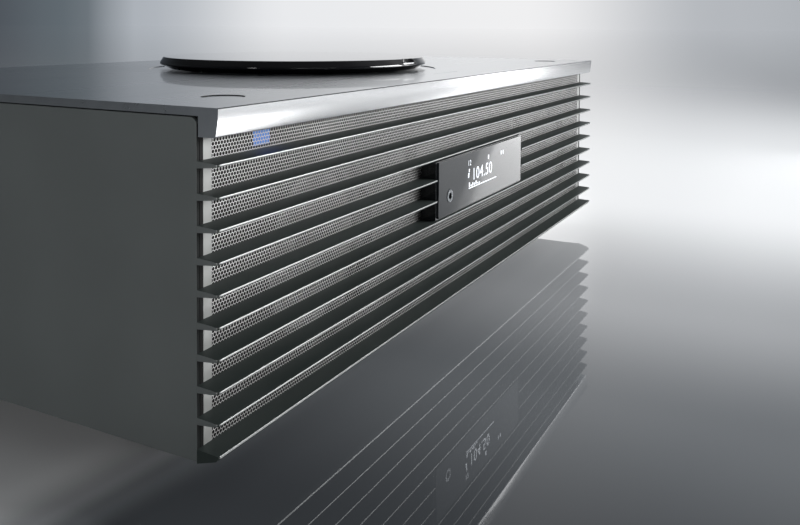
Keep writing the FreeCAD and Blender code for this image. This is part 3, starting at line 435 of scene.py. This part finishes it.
# ---- Fins ---------------------------------------------------------------------------------
# Dark anodised extrusions whose thin front edge is diamond cut and left bright.
# They are screwed to the front frame from behind, through the grille.
def start_block(name, low, high):
    """A cube set to a box's size and place, with both applied."""
    middle = (Vector(low) + Vector(high)) / 2
    bpy.ops.mesh.primitive_cube_add(size=1, location=middle)
    piece = bpy.context.object
    piece.name = name
    piece.data.name = name
    piece.scale = Vector(high) - Vector(low)
    bpy.ops.object.transform_apply(location=True, rotation=True, scale=True)
    return piece


def copied(piece, name, shift):
    """A copy with its own mesh, moved by a shift that is applied to the mesh."""
    twin = piece.copy()
    twin.data = piece.data.copy()
    twin.name = name
    twin.data.name = name
    twin.data.transform(Matrix.Translation(shift))
    bpy.context.collection.objects.link(twin)
    return twin


fin_mat, _, fin_shader = finished("fin_anodised", grain, (0.020, 0.025, 0.024), (0.025, 0.030, 0.029),
                                  (0.50, 0.56), bump=0.03, scale=3000)
fin_shader.inputs["Specular IOR Level"].default_value = 0.04
tip_mat, _, _ = finished("fin_bright_edge", brushing, (0.15, 0.155, 0.155), (0.18, 0.185, 0.185),
                         (0.32, 0.40), metallic=1.0, bump=0.05)

fin_low, fin_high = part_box("louver_1")
fin_root, fin_tip, fin_fall = 2.4 * MM, 1.0 * MM, 0.45 * MM
tip_round, corner_round = 0.28 * MM, 1.3 * MM


def make_fin(name, left, right, round_left, round_right):
    """A tapered bar between two ends, rounded at its tip and at the case's corners."""
    bar = start_block(name, (left, fin_low[1], fin_low[2]), (right, fin_high[1], fin_high[2]))
    near_tip, half_height = fin_low[1] + MM, fin_low[2] + MM
    choose(bar, "EDGE", lambda mid, way: abs(way.x) > 0.9 and mid.y < near_tip and mid.z > half_height)
    bpy.ops.transform.translate(value=(0, 0, -fin_fall))
    choose(bar, "EDGE", lambda mid, way: abs(way.x) > 0.9 and mid.y < near_tip and mid.z < half_height)
    bpy.ops.transform.translate(value=(0, 0, fin_root - fin_fall - fin_tip))
    ends = [end for end, rounded in ((left, round_left), (right, round_right)) if rounded]
    choose(bar, "EDGE", lambda mid, way: abs(way.z) > 0.9 and mid.y < near_tip
           and any(abs(mid.x - end) < MM for end in ends))
    bpy.ops.mesh.bevel(offset=corner_round, segments=5, affect="EDGES")
    leave_edit()
    front = fin_low[1] + 1.5 * MM
    choose(bar, "EDGE", lambda mid, way: abs(way.z) < 0.2 and mid.y < front and not (
        abs(way.y) > 0.99 and min(abs(mid.x - left), abs(mid.x - right)) > MM))
    bpy.ops.mesh.bevel(offset=tip_round, segments=3, affect="EDGES")
    leave_edit()
    bar.data.materials.append(fin_mat)
    bar.data.materials.append(tip_mat)
    # Third slot: the end faces take the side panels' lighter charcoal, painted lighter than the fin as
    # painted light from the left.
    bar.data.materials.append(side_mat)
    for face in bar.data.polygons:
        bright = face.center.y < fin_low[1] + 0.5 * MM and face.normal.y < -0.8 and face.normal.z > -0.2
        glint = 0.8 < abs(face.normal.x) < 0.95 and face.center.y < near_tip
        painted_lit_end = abs(face.normal.x) > 0.8
        face.material_index = 1 if bright or glint else 2 if painted_lit_end else 0
    only(bar)
    bpy.ops.object.shade_smooth_by_angle(angle=math.radians(40))
    return bar


fin_step = 10.74 * MM
full_fin = make_fin("fin_1", fin_low[0], fin_high[0], True, True)
display_low, display_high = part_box("display_housing")
fin_gap = 0.1 * MM
left_fin = make_fin("fin_4_left", fin_low[0], display_low[0] - fin_gap, True, False)
right_fin = make_fin("fin_4_right", display_high[0] + fin_gap, fin_high[0], False, True)
for piece in (left_fin, right_fin):
    piece.data.transform(Matrix.Translation((0, 0, -3 * fin_step)))
fins = {1: [full_fin], 4: [left_fin, right_fin]}
for number in (2, 3, 6, 7, 8, 9):
    fins[number] = [copied(full_fin, f"fin_{number}", (0, 0, -(number - 1) * fin_step))]
fins[5] = [copied(left_fin, "fin_5_left", (0, 0, -fin_step)),
           copied(right_fin, "fin_5_right", (0, 0, -fin_step))]
for number, pieces in fins.items():
    for piece in pieces:
        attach(piece, "case")
        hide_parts(f"louver_{number}")

# ---- Bottom lip ---------------------------------------------------------------------------
# The lowest fin is deeper and closes the front at the base; it has the same bright edge,
# a bar let into its front from end to end.
skin("bottom_lip", "case", fin_mat, smooth=20)
lip_low, lip_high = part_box("bottom_lip")
lip_edge = start_block("lip_edge", (lip_low[0] + 0.6 * MM, lip_low[1] - 0.04 * MM, lip_high[2] - 1.35 * MM),
                       (lip_high[0] - 0.6 * MM, lip_low[1] + 0.5 * MM, lip_high[2] - 0.45 * MM))
applied(lip_edge, "BEVEL", width=0.12 * MM, segments=2, limit_method="ANGLE")
lip_edge.data.materials.append(tip_mat)
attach(lip_edge, "case")

# ---- Grille -------------------------------------------------------------------------------
# Silver steel sheet, punched with six-sided holes 1.25 mm across on a 1.5 mm triangular grid.
# Each opening between two fins shows its own strip of it, with a plain margin at both ends.
hole_step, hole_radius = 1.5 * MM, 0.72 * MM
cell_radius = hole_step / math.sqrt(3)
row_step = 1.5 * cell_radius
grille_low, grille_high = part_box("grille")
margin, margin_lap = 3.3 * MM, 0.8 * MM
first_opening = 8.1 * MM
strip_rows, strip_thickness = 8, 0.12 * MM
grille_mat, _, _ = finished("grille_silver", grain, (0.36, 0.36, 0.355), (0.41, 0.41, 0.405),
                            (0.34, 0.42), metallic=0.7, bump=0.02, scale=2500)
margin_mat, _, _ = finished("grille_margin", grain, (0.20, 0.205, 0.20), (0.24, 0.245, 0.24),
                            (0.42, 0.5), metallic=0.6, bump=0.02, scale=2500)
# Painted shade: the hole walls, rims and back of each strip are painted near-black so the holes read dark.
hole_shade_mat, _, _ = finished("grille_hole_painted_shade", grain, (0.006, 0.006, 0.006), (0.010, 0.010, 0.010),
                             (0.5, 0.6), metallic=0.5, bump=0.02, scale=2500)


def make_cell(name, left, top):
    """A flat six-sided ring around a six-sided hole."""
    bpy.ops.mesh.primitive_circle_add(vertices=6, radius=cell_radius, location=(left, grille_low[1], top),
                                      rotation=(math.pi / 2, 0, 0))
    outer = bpy.context.object
    bpy.ops.mesh.primitive_circle_add(vertices=6, radius=hole_radius, location=(left, grille_low[1], top),
                                      rotation=(math.pi / 2, 0, 0))
    outer.select_set(True)
    bpy.context.view_layer.objects.active = outer
    bpy.ops.object.join()
    bpy.ops.object.transform_apply(location=True, rotation=True, scale=True)
    bpy.ops.object.mode_set(mode="EDIT")
    bpy.ops.mesh.select_mode(type="EDGE")
    bpy.ops.mesh.select_all(action="SELECT")
    bpy.ops.mesh.bridge_edge_loops()
    leave_edit()
    outer.name = name
    outer.data.name = name
    return outer


def make_strip(name, left, right, top):
    """A punched strip: one cell repeated along two staggered rows, then downwards."""
    strip = make_cell(name, left + hole_step / 2, top)
    columns = int((right - left) / hole_step)
    applied(strip, "ARRAY", count=columns, use_relative_offset=False, use_constant_offset=True,
            constant_offset_displace=(hole_step, 0, 0), use_merge_vertices=True,
            merge_threshold=0.01 * MM)
    second = copied(strip, name + "_row", (hole_step / 2, 0, -row_step))
    only(strip)
    second.select_set(True)
    bpy.ops.object.join()
    applied(strip, "ARRAY", count=strip_rows // 2, use_relative_offset=False, use_constant_offset=True,
            constant_offset_displace=(0, 0, -2 * row_step), use_merge_vertices=True,
            merge_threshold=0.01 * MM)
    choose(strip, "FACE", lambda mid, normal: True)
    bpy.ops.mesh.remove_doubles(threshold=0.01 * MM)
    bpy.ops.mesh.normals_make_consistent(inside=False)
    leave_edit()
    if strip.data.polygons[0].normal.y > 0:
        strip.data.flip_normals()
    strip.data.materials.append(grille_mat)
    strip.data.materials.append(hole_shade_mat)
    # The back and rim faces that this adds take the painted-shade black.
    applied(strip, "SOLIDIFY", thickness=strip_thickness, offset=-1, material_offset_rim=1,
            material_offset=1)
    return strip


openings_top = [fin_high[2] + first_opening]
openings_top += [fin_high[2] - fin_root - number * fin_step for number in range(9)]
for index, top in enumerate(openings_top):
    spans = [("", grille_low[0] + margin, grille_high[0] - margin)]
    if index in (3, 4, 5):
        spans = [("_left", grille_low[0] + margin, display_low[0] - fin_gap),
                 ("_right", display_high[0] + fin_gap, grille_high[0] - margin)]
    for suffix, left, right in spans:
        strip = make_strip(f"grille_strip_{index + 1}{suffix}", left, right, top + 0.58 * MM)
        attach(strip, "case")
for side, left in (("left", grille_low[0]), ("right", grille_high[0] - margin - margin_lap)):
    edge = start_block(f"grille_margin_{side}", (left, grille_low[1] - 0.02 * MM, grille_low[2]),
                       (left + margin + margin_lap, grille_high[1], grille_high[2] - 7 * MM))
    edge.data.materials.append(margin_mat)
    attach(edge, "case")
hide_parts("grille")

# ---- Front frame --------------------------------------------------------------------------
# Black moulded baffle behind the grille, with an end post each side that the fins stand on.
black_mat, _, black_shader = finished("moulded_black", grain, (0.012, 0.014, 0.014), (0.018, 0.020, 0.021),
                                      (0.5, 0.62), bump=0.1, scale=2500)
black_shader.inputs["Specular IOR Level"].default_value = 0.12
# The baffle is black moulding, painted a deeper black than the other mouldings: a painted shade behind the
# grille and fins.
frame_shade_mat, _, frame_shade_shader = finished("frame_black", grain, (0.003, 0.003, 0.003), (0.005, 0.005, 0.005),
                                      (0.5, 0.62), bump=0.1, scale=2500)
frame_shade_shader.inputs["Specular IOR Level"].default_value = 0.1
skin("front_frame", "case", frame_shade_mat)

# ---- Display ------------------------------------------------------------------------------
# A black moulded housing with polished sides holds a smoked window, glued in flush.
# The lit figures show through it: a small row, a large row, level bars and a progress line.
housing_mat, _, _ = finished("housing_black", grain, (0.006, 0.007, 0.008), (0.010, 0.011, 0.012),
                             (0.12, 0.2), bump=0.02, scale=2500)
skin("display_housing", "case", housing_mat)
window_mat, _, window_shader = finished("window_smoked", grain, (0.009, 0.011, 0.013),
                                        (0.012, 0.014, 0.016),
                                        (0.04, 0.07), bump=0.0, scale=900)
window_shader.inputs["IOR"].default_value = 1.33
skin("display_window", "case", window_mat, ease=0.25 * MM)

lit_mat, _, lit_shader = finished("display_face", grain, (0.55, 0.58, 0.62), (0.62, 0.65, 0.70),
                                  (0.4, 0.5), bump=0.0, scale=800)
lit_shader.inputs["Emission Color"].default_value = (0.80, 0.86, 0.95, 1)
lit_shader.inputs["Emission Strength"].default_value = 0.55
window_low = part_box("display_window")[0]
glow_low, glow_high = window_low[1] - 0.04 * MM, window_low[1] + 0.1 * MM


def lit_bar(left, bottom, width, height, lean=0.0):
    """A lit stroke on the window, given in millimetres from the middle of the case."""
    bar = start_block("lit_bar", (left * MM, glow_low, bottom * MM),
                      ((left + width) * MM, glow_high, (bottom + height) * MM))
    if lean:
        choose(bar, "VERT", lambda place, _: place.z > (bottom + height / 2) * MM)
        bpy.ops.transform.translate(value=(lean * MM, 0, 0))
    applied(bar, "BEVEL", width=0.03 * MM, segments=1)
    return bar


def lit_figures(text, left, bottom, size):
    """Lit numerals, made a mesh and stood up on the window."""
    bpy.ops.object.text_add()
    figures = bpy.context.object
    figures.data.body = text
    figures.data.size = size * MM
    figures.data.extrude = 0.05 * MM
    figures.data.space_character = 1.12
    only(figures)
    bpy.ops.object.convert(target="MESH")
    figures = bpy.context.object
    figures.location = (left * MM, (glow_low + glow_high) / 2, bottom * MM)
    figures.rotation_euler = (math.pi / 2, 0, 0)
    bpy.ops.object.transform_apply(location=True, rotation=True, scale=True)
    return figures


lit = [lit_figures("12", -23.5, 86.2, 4.2), lit_figures("104.50", -17.5, 77.4, 9.6),
       lit_bar(-23.5, 79.6, 1.6, 2.6, 0.6), lit_bar(-22.4, 82.6, 1.2, 1.8, 0.4),
       lit_bar(5.2, 85.9, 1.5, 2.6), lit_bar(25.2, 85.8, 1.1, 2.4), lit_bar(28.4, 85.8, 1.1, 2.4),
       lit_bar(-22.2, 73.4, 40.5, 0.55)]
lit += [lit_bar(-22.0 + 2.3 * index, 74.4, 1.3, height)
        for index, height in enumerate((2.4, 0.9, 1.7, 1.2, 2.0, 0.8, 0.7))]
lit_group = lit[0]
only(lit_group)
for piece in lit:
    piece.select_set(True)
bpy.ops.object.join()
lit_group.name = lit_group.data.name = "display_figures"
lit_group.data.materials.clear()
lit_group.data.materials.append(lit_mat)
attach(lit_group, "case")
dress("display_panel", lit_mat)

# ---- Headphone jack -----------------------------------------------------------------------
# A turned barrel for a 3.5 mm plug, pressed into the display housing.
# Its mouth has a polished steel ring that stands in the window's hole.
jack_mat, _, _ = finished("jack_metal", grain, (0.10, 0.11, 0.12), (0.16, 0.17, 0.18),
                          (0.25, 0.35), metallic=0.9, bump=0.02, scale=3000)
skin("headphone_jack", "case", jack_mat)
jack_low, jack_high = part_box("headphone_jack")
jack_across, jack_height = (jack_low[0] + jack_high[0]) / 2, (jack_low[2] + jack_high[2]) / 2


def ring(name, centre, radius, thick, mat):
    """A round bead of metal about a centre, facing the front."""
    bpy.ops.mesh.primitive_torus_add(location=centre, rotation=(math.pi / 2, 0, 0), major_radius=radius,
                                     minor_radius=thick, major_segments=96, minor_segments=12)
    bead = bpy.context.object
    bead.name = bead.data.name = name
    only(bead)
    bpy.ops.object.transform_apply(location=True, rotation=True, scale=True)
    bead.data.materials.append(mat)
    bpy.ops.object.shade_smooth()
    return bead


chrome_mat, _, _ = finished("polished_steel", grain, (0.62, 0.63, 0.65), (0.70, 0.71, 0.73),
                            (0.10, 0.16), metallic=1.0, bump=0.01, scale=2500)
jack_ring = ring("jack_ring", (jack_across, jack_low[1] + 0.28 * MM, jack_height), 3.0 * MM, 0.25 * MM,
                 chrome_mat)
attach(jack_ring, "case")

# ---- Status light -------------------------------------------------------------------------
# A clear light pipe behind the first opening of the grille, lit blue from its board.
light_mat, _, light_shader = finished("light_pipe", grain, (0.002, 0.02, 0.10), (0.003, 0.03, 0.14),
                                      (0.3, 0.4), bump=0.0, scale=1500)
light_shader.inputs["Emission Color"].default_value = (0.0, 0.09, 0.33, 1)
light_shader.inputs["Emission Strength"].default_value = 0.9
skin("status_light", "case", light_mat, ease=0.3 * MM)

# ---- Buttons ------------------------------------------------------------------------------
# Two round keys punched from the same sheet as the deck, so the brushing runs on across them.
# Each sits a little below the deck, and presses a switch on a small board.
key_sink, key_hole = 0.35 * MM, 9 * MM
# The deck's walls around each key take the painted-shade black.
top_panel.data.materials.append(painted_shade_mat)
for body in ("power_button", "source_button"):
    key = skin(body, body, deck_mat)
    key_low, key_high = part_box(body)
    choose(key, "VERT", lambda spot, _: spot.z > key_high[2] - 0.5 * MM)
    bpy.ops.transform.translate(value=(0, 0, -key_sink))
    leave_edit()
    # The keys' sides are painted near-black as shade; only their tops keep the deck aluminium.
    key.data.materials.append(painted_shade_mat)
    for face in key.data.polygons:
        face.material_index = 0 if face.normal.z > 0.95 else 1
    key_axis = Vector(((key_low[0] + key_high[0]) / 2, (key_low[1] + key_high[1]) / 2))
    for face in top_panel.data.polygons:
        if abs(face.normal.z) < 0.5 and (face.center.xy - key_axis).length < key_hole:
            face.material_index = 2

# ---- Disc lid -----------------------------------------------------------------------------
# Glossy black acrylic with a bevelled rim; it turns level about a steel shaft in a brass bush.
# A scallop at the front edge, with a small polished inlay, is where the finger pushes.
lid_mat, _, _ = finished("lid_acrylic", grain, (0.004, 0.004, 0.005), (0.005, 0.005, 0.006),
                         (0.02, 0.04), bump=0.0, scale=500)
skin("disc_lid", "lid", lid_mat, ease=0.3 * MM, corner=28)
lid_low, lid_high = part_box("disc_lid")
inlay = start_block("lid_inlay", (-6.5 * MM, lid_low[1] + 0.9 * MM, lid_high[2] - 3.05 * MM),
                    (6.5 * MM, lid_low[1] + 2.4 * MM, lid_high[2] - 2.3 * MM))
applied(inlay, "BEVEL", width=0.3 * MM, segments=3)
inlay.data.materials.append(chrome_mat)
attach(inlay, "lid")
steel_mat, _, _ = finished("turned_steel", grain, (0.42, 0.43, 0.44), (0.52, 0.53, 0.54),
                           (0.18, 0.3), metallic=1.0, bump=0.03, scale=2500)
brass_mat, _, _ = finished("bush_brass", grain, (0.55, 0.40, 0.16), (0.65, 0.48, 0.20),
                           (0.25, 0.35), metallic=1.0, bump=0.03, scale=2500)
skin("lid_shaft", "lid", steel_mat)
skin("lid_bush", "case", brass_mat)

# ---- Disc well and player -----------------------------------------------------------------
# A matt black moulded well; the hub grips the disc with three sprung balls.
# Under it a pressed plate carries the rods, the lead screw and the sled with its lens.
rubber_mat, _, _ = finished("rubber_black", grain, (0.014, 0.014, 0.014), (0.022, 0.022, 0.022),
                            (0.7, 0.85), bump=0.15, scale=3500)
gold_mat, _, _ = finished("contact_gold", grain, (0.75, 0.52, 0.20), (0.85, 0.60, 0.25),
                          (0.2, 0.3), metallic=1.0, bump=0.02, scale=2500)
skin("disc_well", "case", black_mat)
skin("disc_hub", "disc_hub", black_mat)
hub_low, hub_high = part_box("disc_hub")
hub_across, hub_along = (hub_low[0] + hub_high[0]) / 2, (hub_low[1] + hub_high[1]) / 2
ball_radius, ball_ring, ball_depth = 1.3 * MM, 6.6 * MM, 2.6 * MM
for index in range(3):
    around_hub = math.radians(120 * index + 30)
    bpy.ops.mesh.primitive_uv_sphere_add(radius=ball_radius, segments=24, ring_count=16, location=(
        hub_across + ball_ring * math.cos(around_hub), hub_along + ball_ring * math.sin(around_hub),
        hub_high[2] - ball_depth))
    ball = bpy.context.object
    ball.name = ball.data.name = f"hub_ball_{index + 1}"
    only(ball)
    bpy.ops.object.transform_apply(location=True, rotation=True, scale=True)
    bpy.ops.object.shade_smooth()
    ball.data.materials.append(chrome_mat)
    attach(ball, "disc_hub")
lens_mat, _, lens_shader = finished("lens_clear", grain, (0.05, 0.06, 0.12), (0.07, 0.08, 0.16),
                                    (0.02, 0.05), bump=0.0, scale=500)
lens_shader.inputs["Coat Weight"].default_value = 1.0
skin("pickup_lens", "pickup", lens_mat)
skin("pickup_sled", "pickup", black_mat, ease=0.25 * MM)
skin("lead_screw", "lead_screw", steel_mat)
for node, slot_name, mat in (("spindle_motor", "motor_steel", steel_mat),
                             ("mechanism_frame", "mechanism_steel", steel_mat),
                             ("guide_rods", "shaft_steel", steel_mat),
                             ("sled_motor", "motor_steel", steel_mat),
                             ("dampers", "rubber_black", rubber_mat)):
    skin(node, "case", mat)

# ---- Speakers -----------------------------------------------------------------------------
# Pressed baskets with black paper cones, each with a rolled rubber surround and a dust cap.
# The subwoofer fires down through the base; the boxes behind the woofers are black fibreboard.
cone_mat, _, _ = finished("cone_paper", grain, (0.020, 0.020, 0.021), (0.040, 0.040, 0.042),
                          (0.65, 0.8), bump=0.3, depth=0.0003, scale=1200)
iron_mat, _, _ = finished("magnet_iron", grain, (0.06, 0.06, 0.065), (0.09, 0.09, 0.095),
                          (0.4, 0.55), metallic=0.6, bump=0.1, scale=1500)
for body, frame_node, cone_node in (("woofer_left", "woofer_frame_left", "woofer_cone_left"),
                                    ("woofer_right", "woofer_frame_right", "woofer_cone_right"),
                                    ("subwoofer", "subwoofer_frame", "subwoofer_cone")):
    skin(frame_node, "case", black_mat)
    skin(cone_node, body, cone_mat)
for node, slot_name, mat in (("speaker_magnets", "magnet_iron", iron_mat),
                             ("tweeters", "cone_black", cone_mat),
                             ("speaker_box_left", "box_black", black_mat),
                             ("speaker_box_right", "box_black", black_mat),
                             ("subwoofer_box", "box_black", black_mat)):
    skin(node, "case", mat)

# ---- Electronics --------------------------------------------------------------------------
# Fibreglass boards with soldered parts, an extruded heat sink and a wound transformer.
board_mat, _, _ = finished("circuit_board", grain, (0.010, 0.055, 0.030), (0.016, 0.090, 0.045),
                           (0.35, 0.5), bump=0.1, scale=900)
sink_mat, _, _ = finished("sink_aluminium", brushing, (0.50, 0.51, 0.52), (0.60, 0.61, 0.62),
                          (0.35, 0.45), metallic=1.0, bump=0.05)
for node, slot_name, mat in (("display_board", "circuit_board", board_mat),
                             ("key_boards", "circuit_board", board_mat),
                             ("main_board", "circuit_board", board_mat),
                             ("power_board", "circuit_board", board_mat),
                             ("board_parts", "board_parts", black_mat),
                             ("heat_sink", "sink_aluminium", sink_mat),
                             ("transformer", "transformer_iron", iron_mat)):
    skin(node, "case", mat)

# ---- Base tray, feet and pads -------------------------------------------------------------
# The tray is folded steel in black powder coat; the feet are moulded, on glued rubber pads.
tray_mat, _, _ = finished("tray_black", grain, (0.020, 0.022, 0.023), (0.030, 0.032, 0.033),
                          (0.5, 0.62), bump=0.2, scale=1800)
skin("base_tray", "case", tray_mat)
skin("feet", "case", black_mat)
skin("foot_pads", "case", rubber_mat, ease=0.3 * MM)

# ---- Rear panel and sockets ---------------------------------------------------------------
# Black steel held by pan-head screws. Each socket is a moulded block with plated contacts.
skin("rear_panel", "case", tray_mat)
skin("mains_inlet", "case", black_mat, ease=0.4 * MM)
skin("rear_sockets", "case", black_mat, ease=0.2 * MM)
socket_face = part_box("rear_sockets")[1][1]
pin_root = 13.9
contacts = []


def contact(left, right, bottom, top, front):
    """A plated strip or pin in a socket, in millimetres; its front is measured from the socket's face."""
    pin = start_block("contact", (left * MM, socket_face - pin_root * MM, bottom * MM),
                      (right * MM, socket_face - front * MM, top * MM))
    applied(pin, "BEVEL", width=0.12 * MM, segments=1)
    contacts.append(pin)


for across in (-154.3, -150, -145.7):
    contact(across - 1.0, across + 1.0, 43, 47, 3.5)
for index in range(8):
    contact(16.2 + 1.02 * index, 16.7 + 1.02 * index, 46.6, 48.6, 4)
contact(44.9, 55.1, 44.8, 46.4, 3)
contact(77.2, 78.8, 44.2, 45.8, 8)
contact(107.2, 108.8, 44.2, 45.8, 5)
plating = contacts[0]
only(plating)
for pin in contacts:
    pin.select_set(True)
bpy.ops.object.join()
plating.name = plating.data.name = "socket_contacts"
plating.data.materials.clear()
plating.data.materials.append(gold_mat)
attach(plating, "case")


def make_screw(name, place, head, height):
    """A domed head with a cross recess, standing out along +Y from a place on a plate."""
    bpy.ops.mesh.primitive_cylinder_add(vertices=32, radius=head, depth=height,
                                        location=(0, 0, height / 2))
    screw = bpy.context.object
    screw.name = screw.data.name = name
    choose(screw, "EDGE", lambda mid, way: mid.z > height * 0.9 and abs(way.z) < 0.5)
    bpy.ops.mesh.bevel(offset=height * 0.45, segments=4, affect="EDGES")
    leave_edit()
    for size in ((head * 1.3, head * 0.22, height), (head * 0.22, head * 1.3, height)):
        bpy.ops.mesh.primitive_cube_add(size=1, location=(0, 0, height), scale=size)
        cutter = bpy.context.object
        applied(screw, "BOOLEAN", object=cutter, operation="DIFFERENCE", solver="EXACT")
        bpy.data.objects.remove(cutter)
    only(screw)
    screw.rotation_euler = (-math.pi / 2, 0, 0)
    bpy.ops.object.transform_apply(location=True, rotation=True, scale=True)
    screw.data.transform(Matrix.Translation(place))
    screw.data.materials.append(screw_mat)
    bpy.ops.object.shade_smooth_by_angle(angle=math.radians(30))
    return screw


screw_mat, _, _ = finished("screw_black", grain, (0.05, 0.05, 0.052), (0.08, 0.08, 0.083),
                           (0.3, 0.4), metallic=0.7, bump=0.03, scale=2500)
panel_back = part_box("rear_panel")[1][1]
screw_columns, screw_rows = (-210, -75, 0, 75, 210), (28, 122)
first_across, first_height = screw_columns[0], screw_rows[0]
first_screw = make_screw("rear_screw_1", (first_across * MM, panel_back, first_height * MM),
                         3 * MM, 1.4 * MM)
rear_screws = [first_screw]
for across in screw_columns:
    for height in screw_rows:
        if (across, height) != (first_across, first_height):
            shift = ((across - first_across) * MM, 0, (height - first_height) * MM)
            rear_screws.append(copied(first_screw, f"rear_screw_{len(rear_screws) + 1}", shift))
for screw in rear_screws:
    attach(screw, "case")
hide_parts("screws")
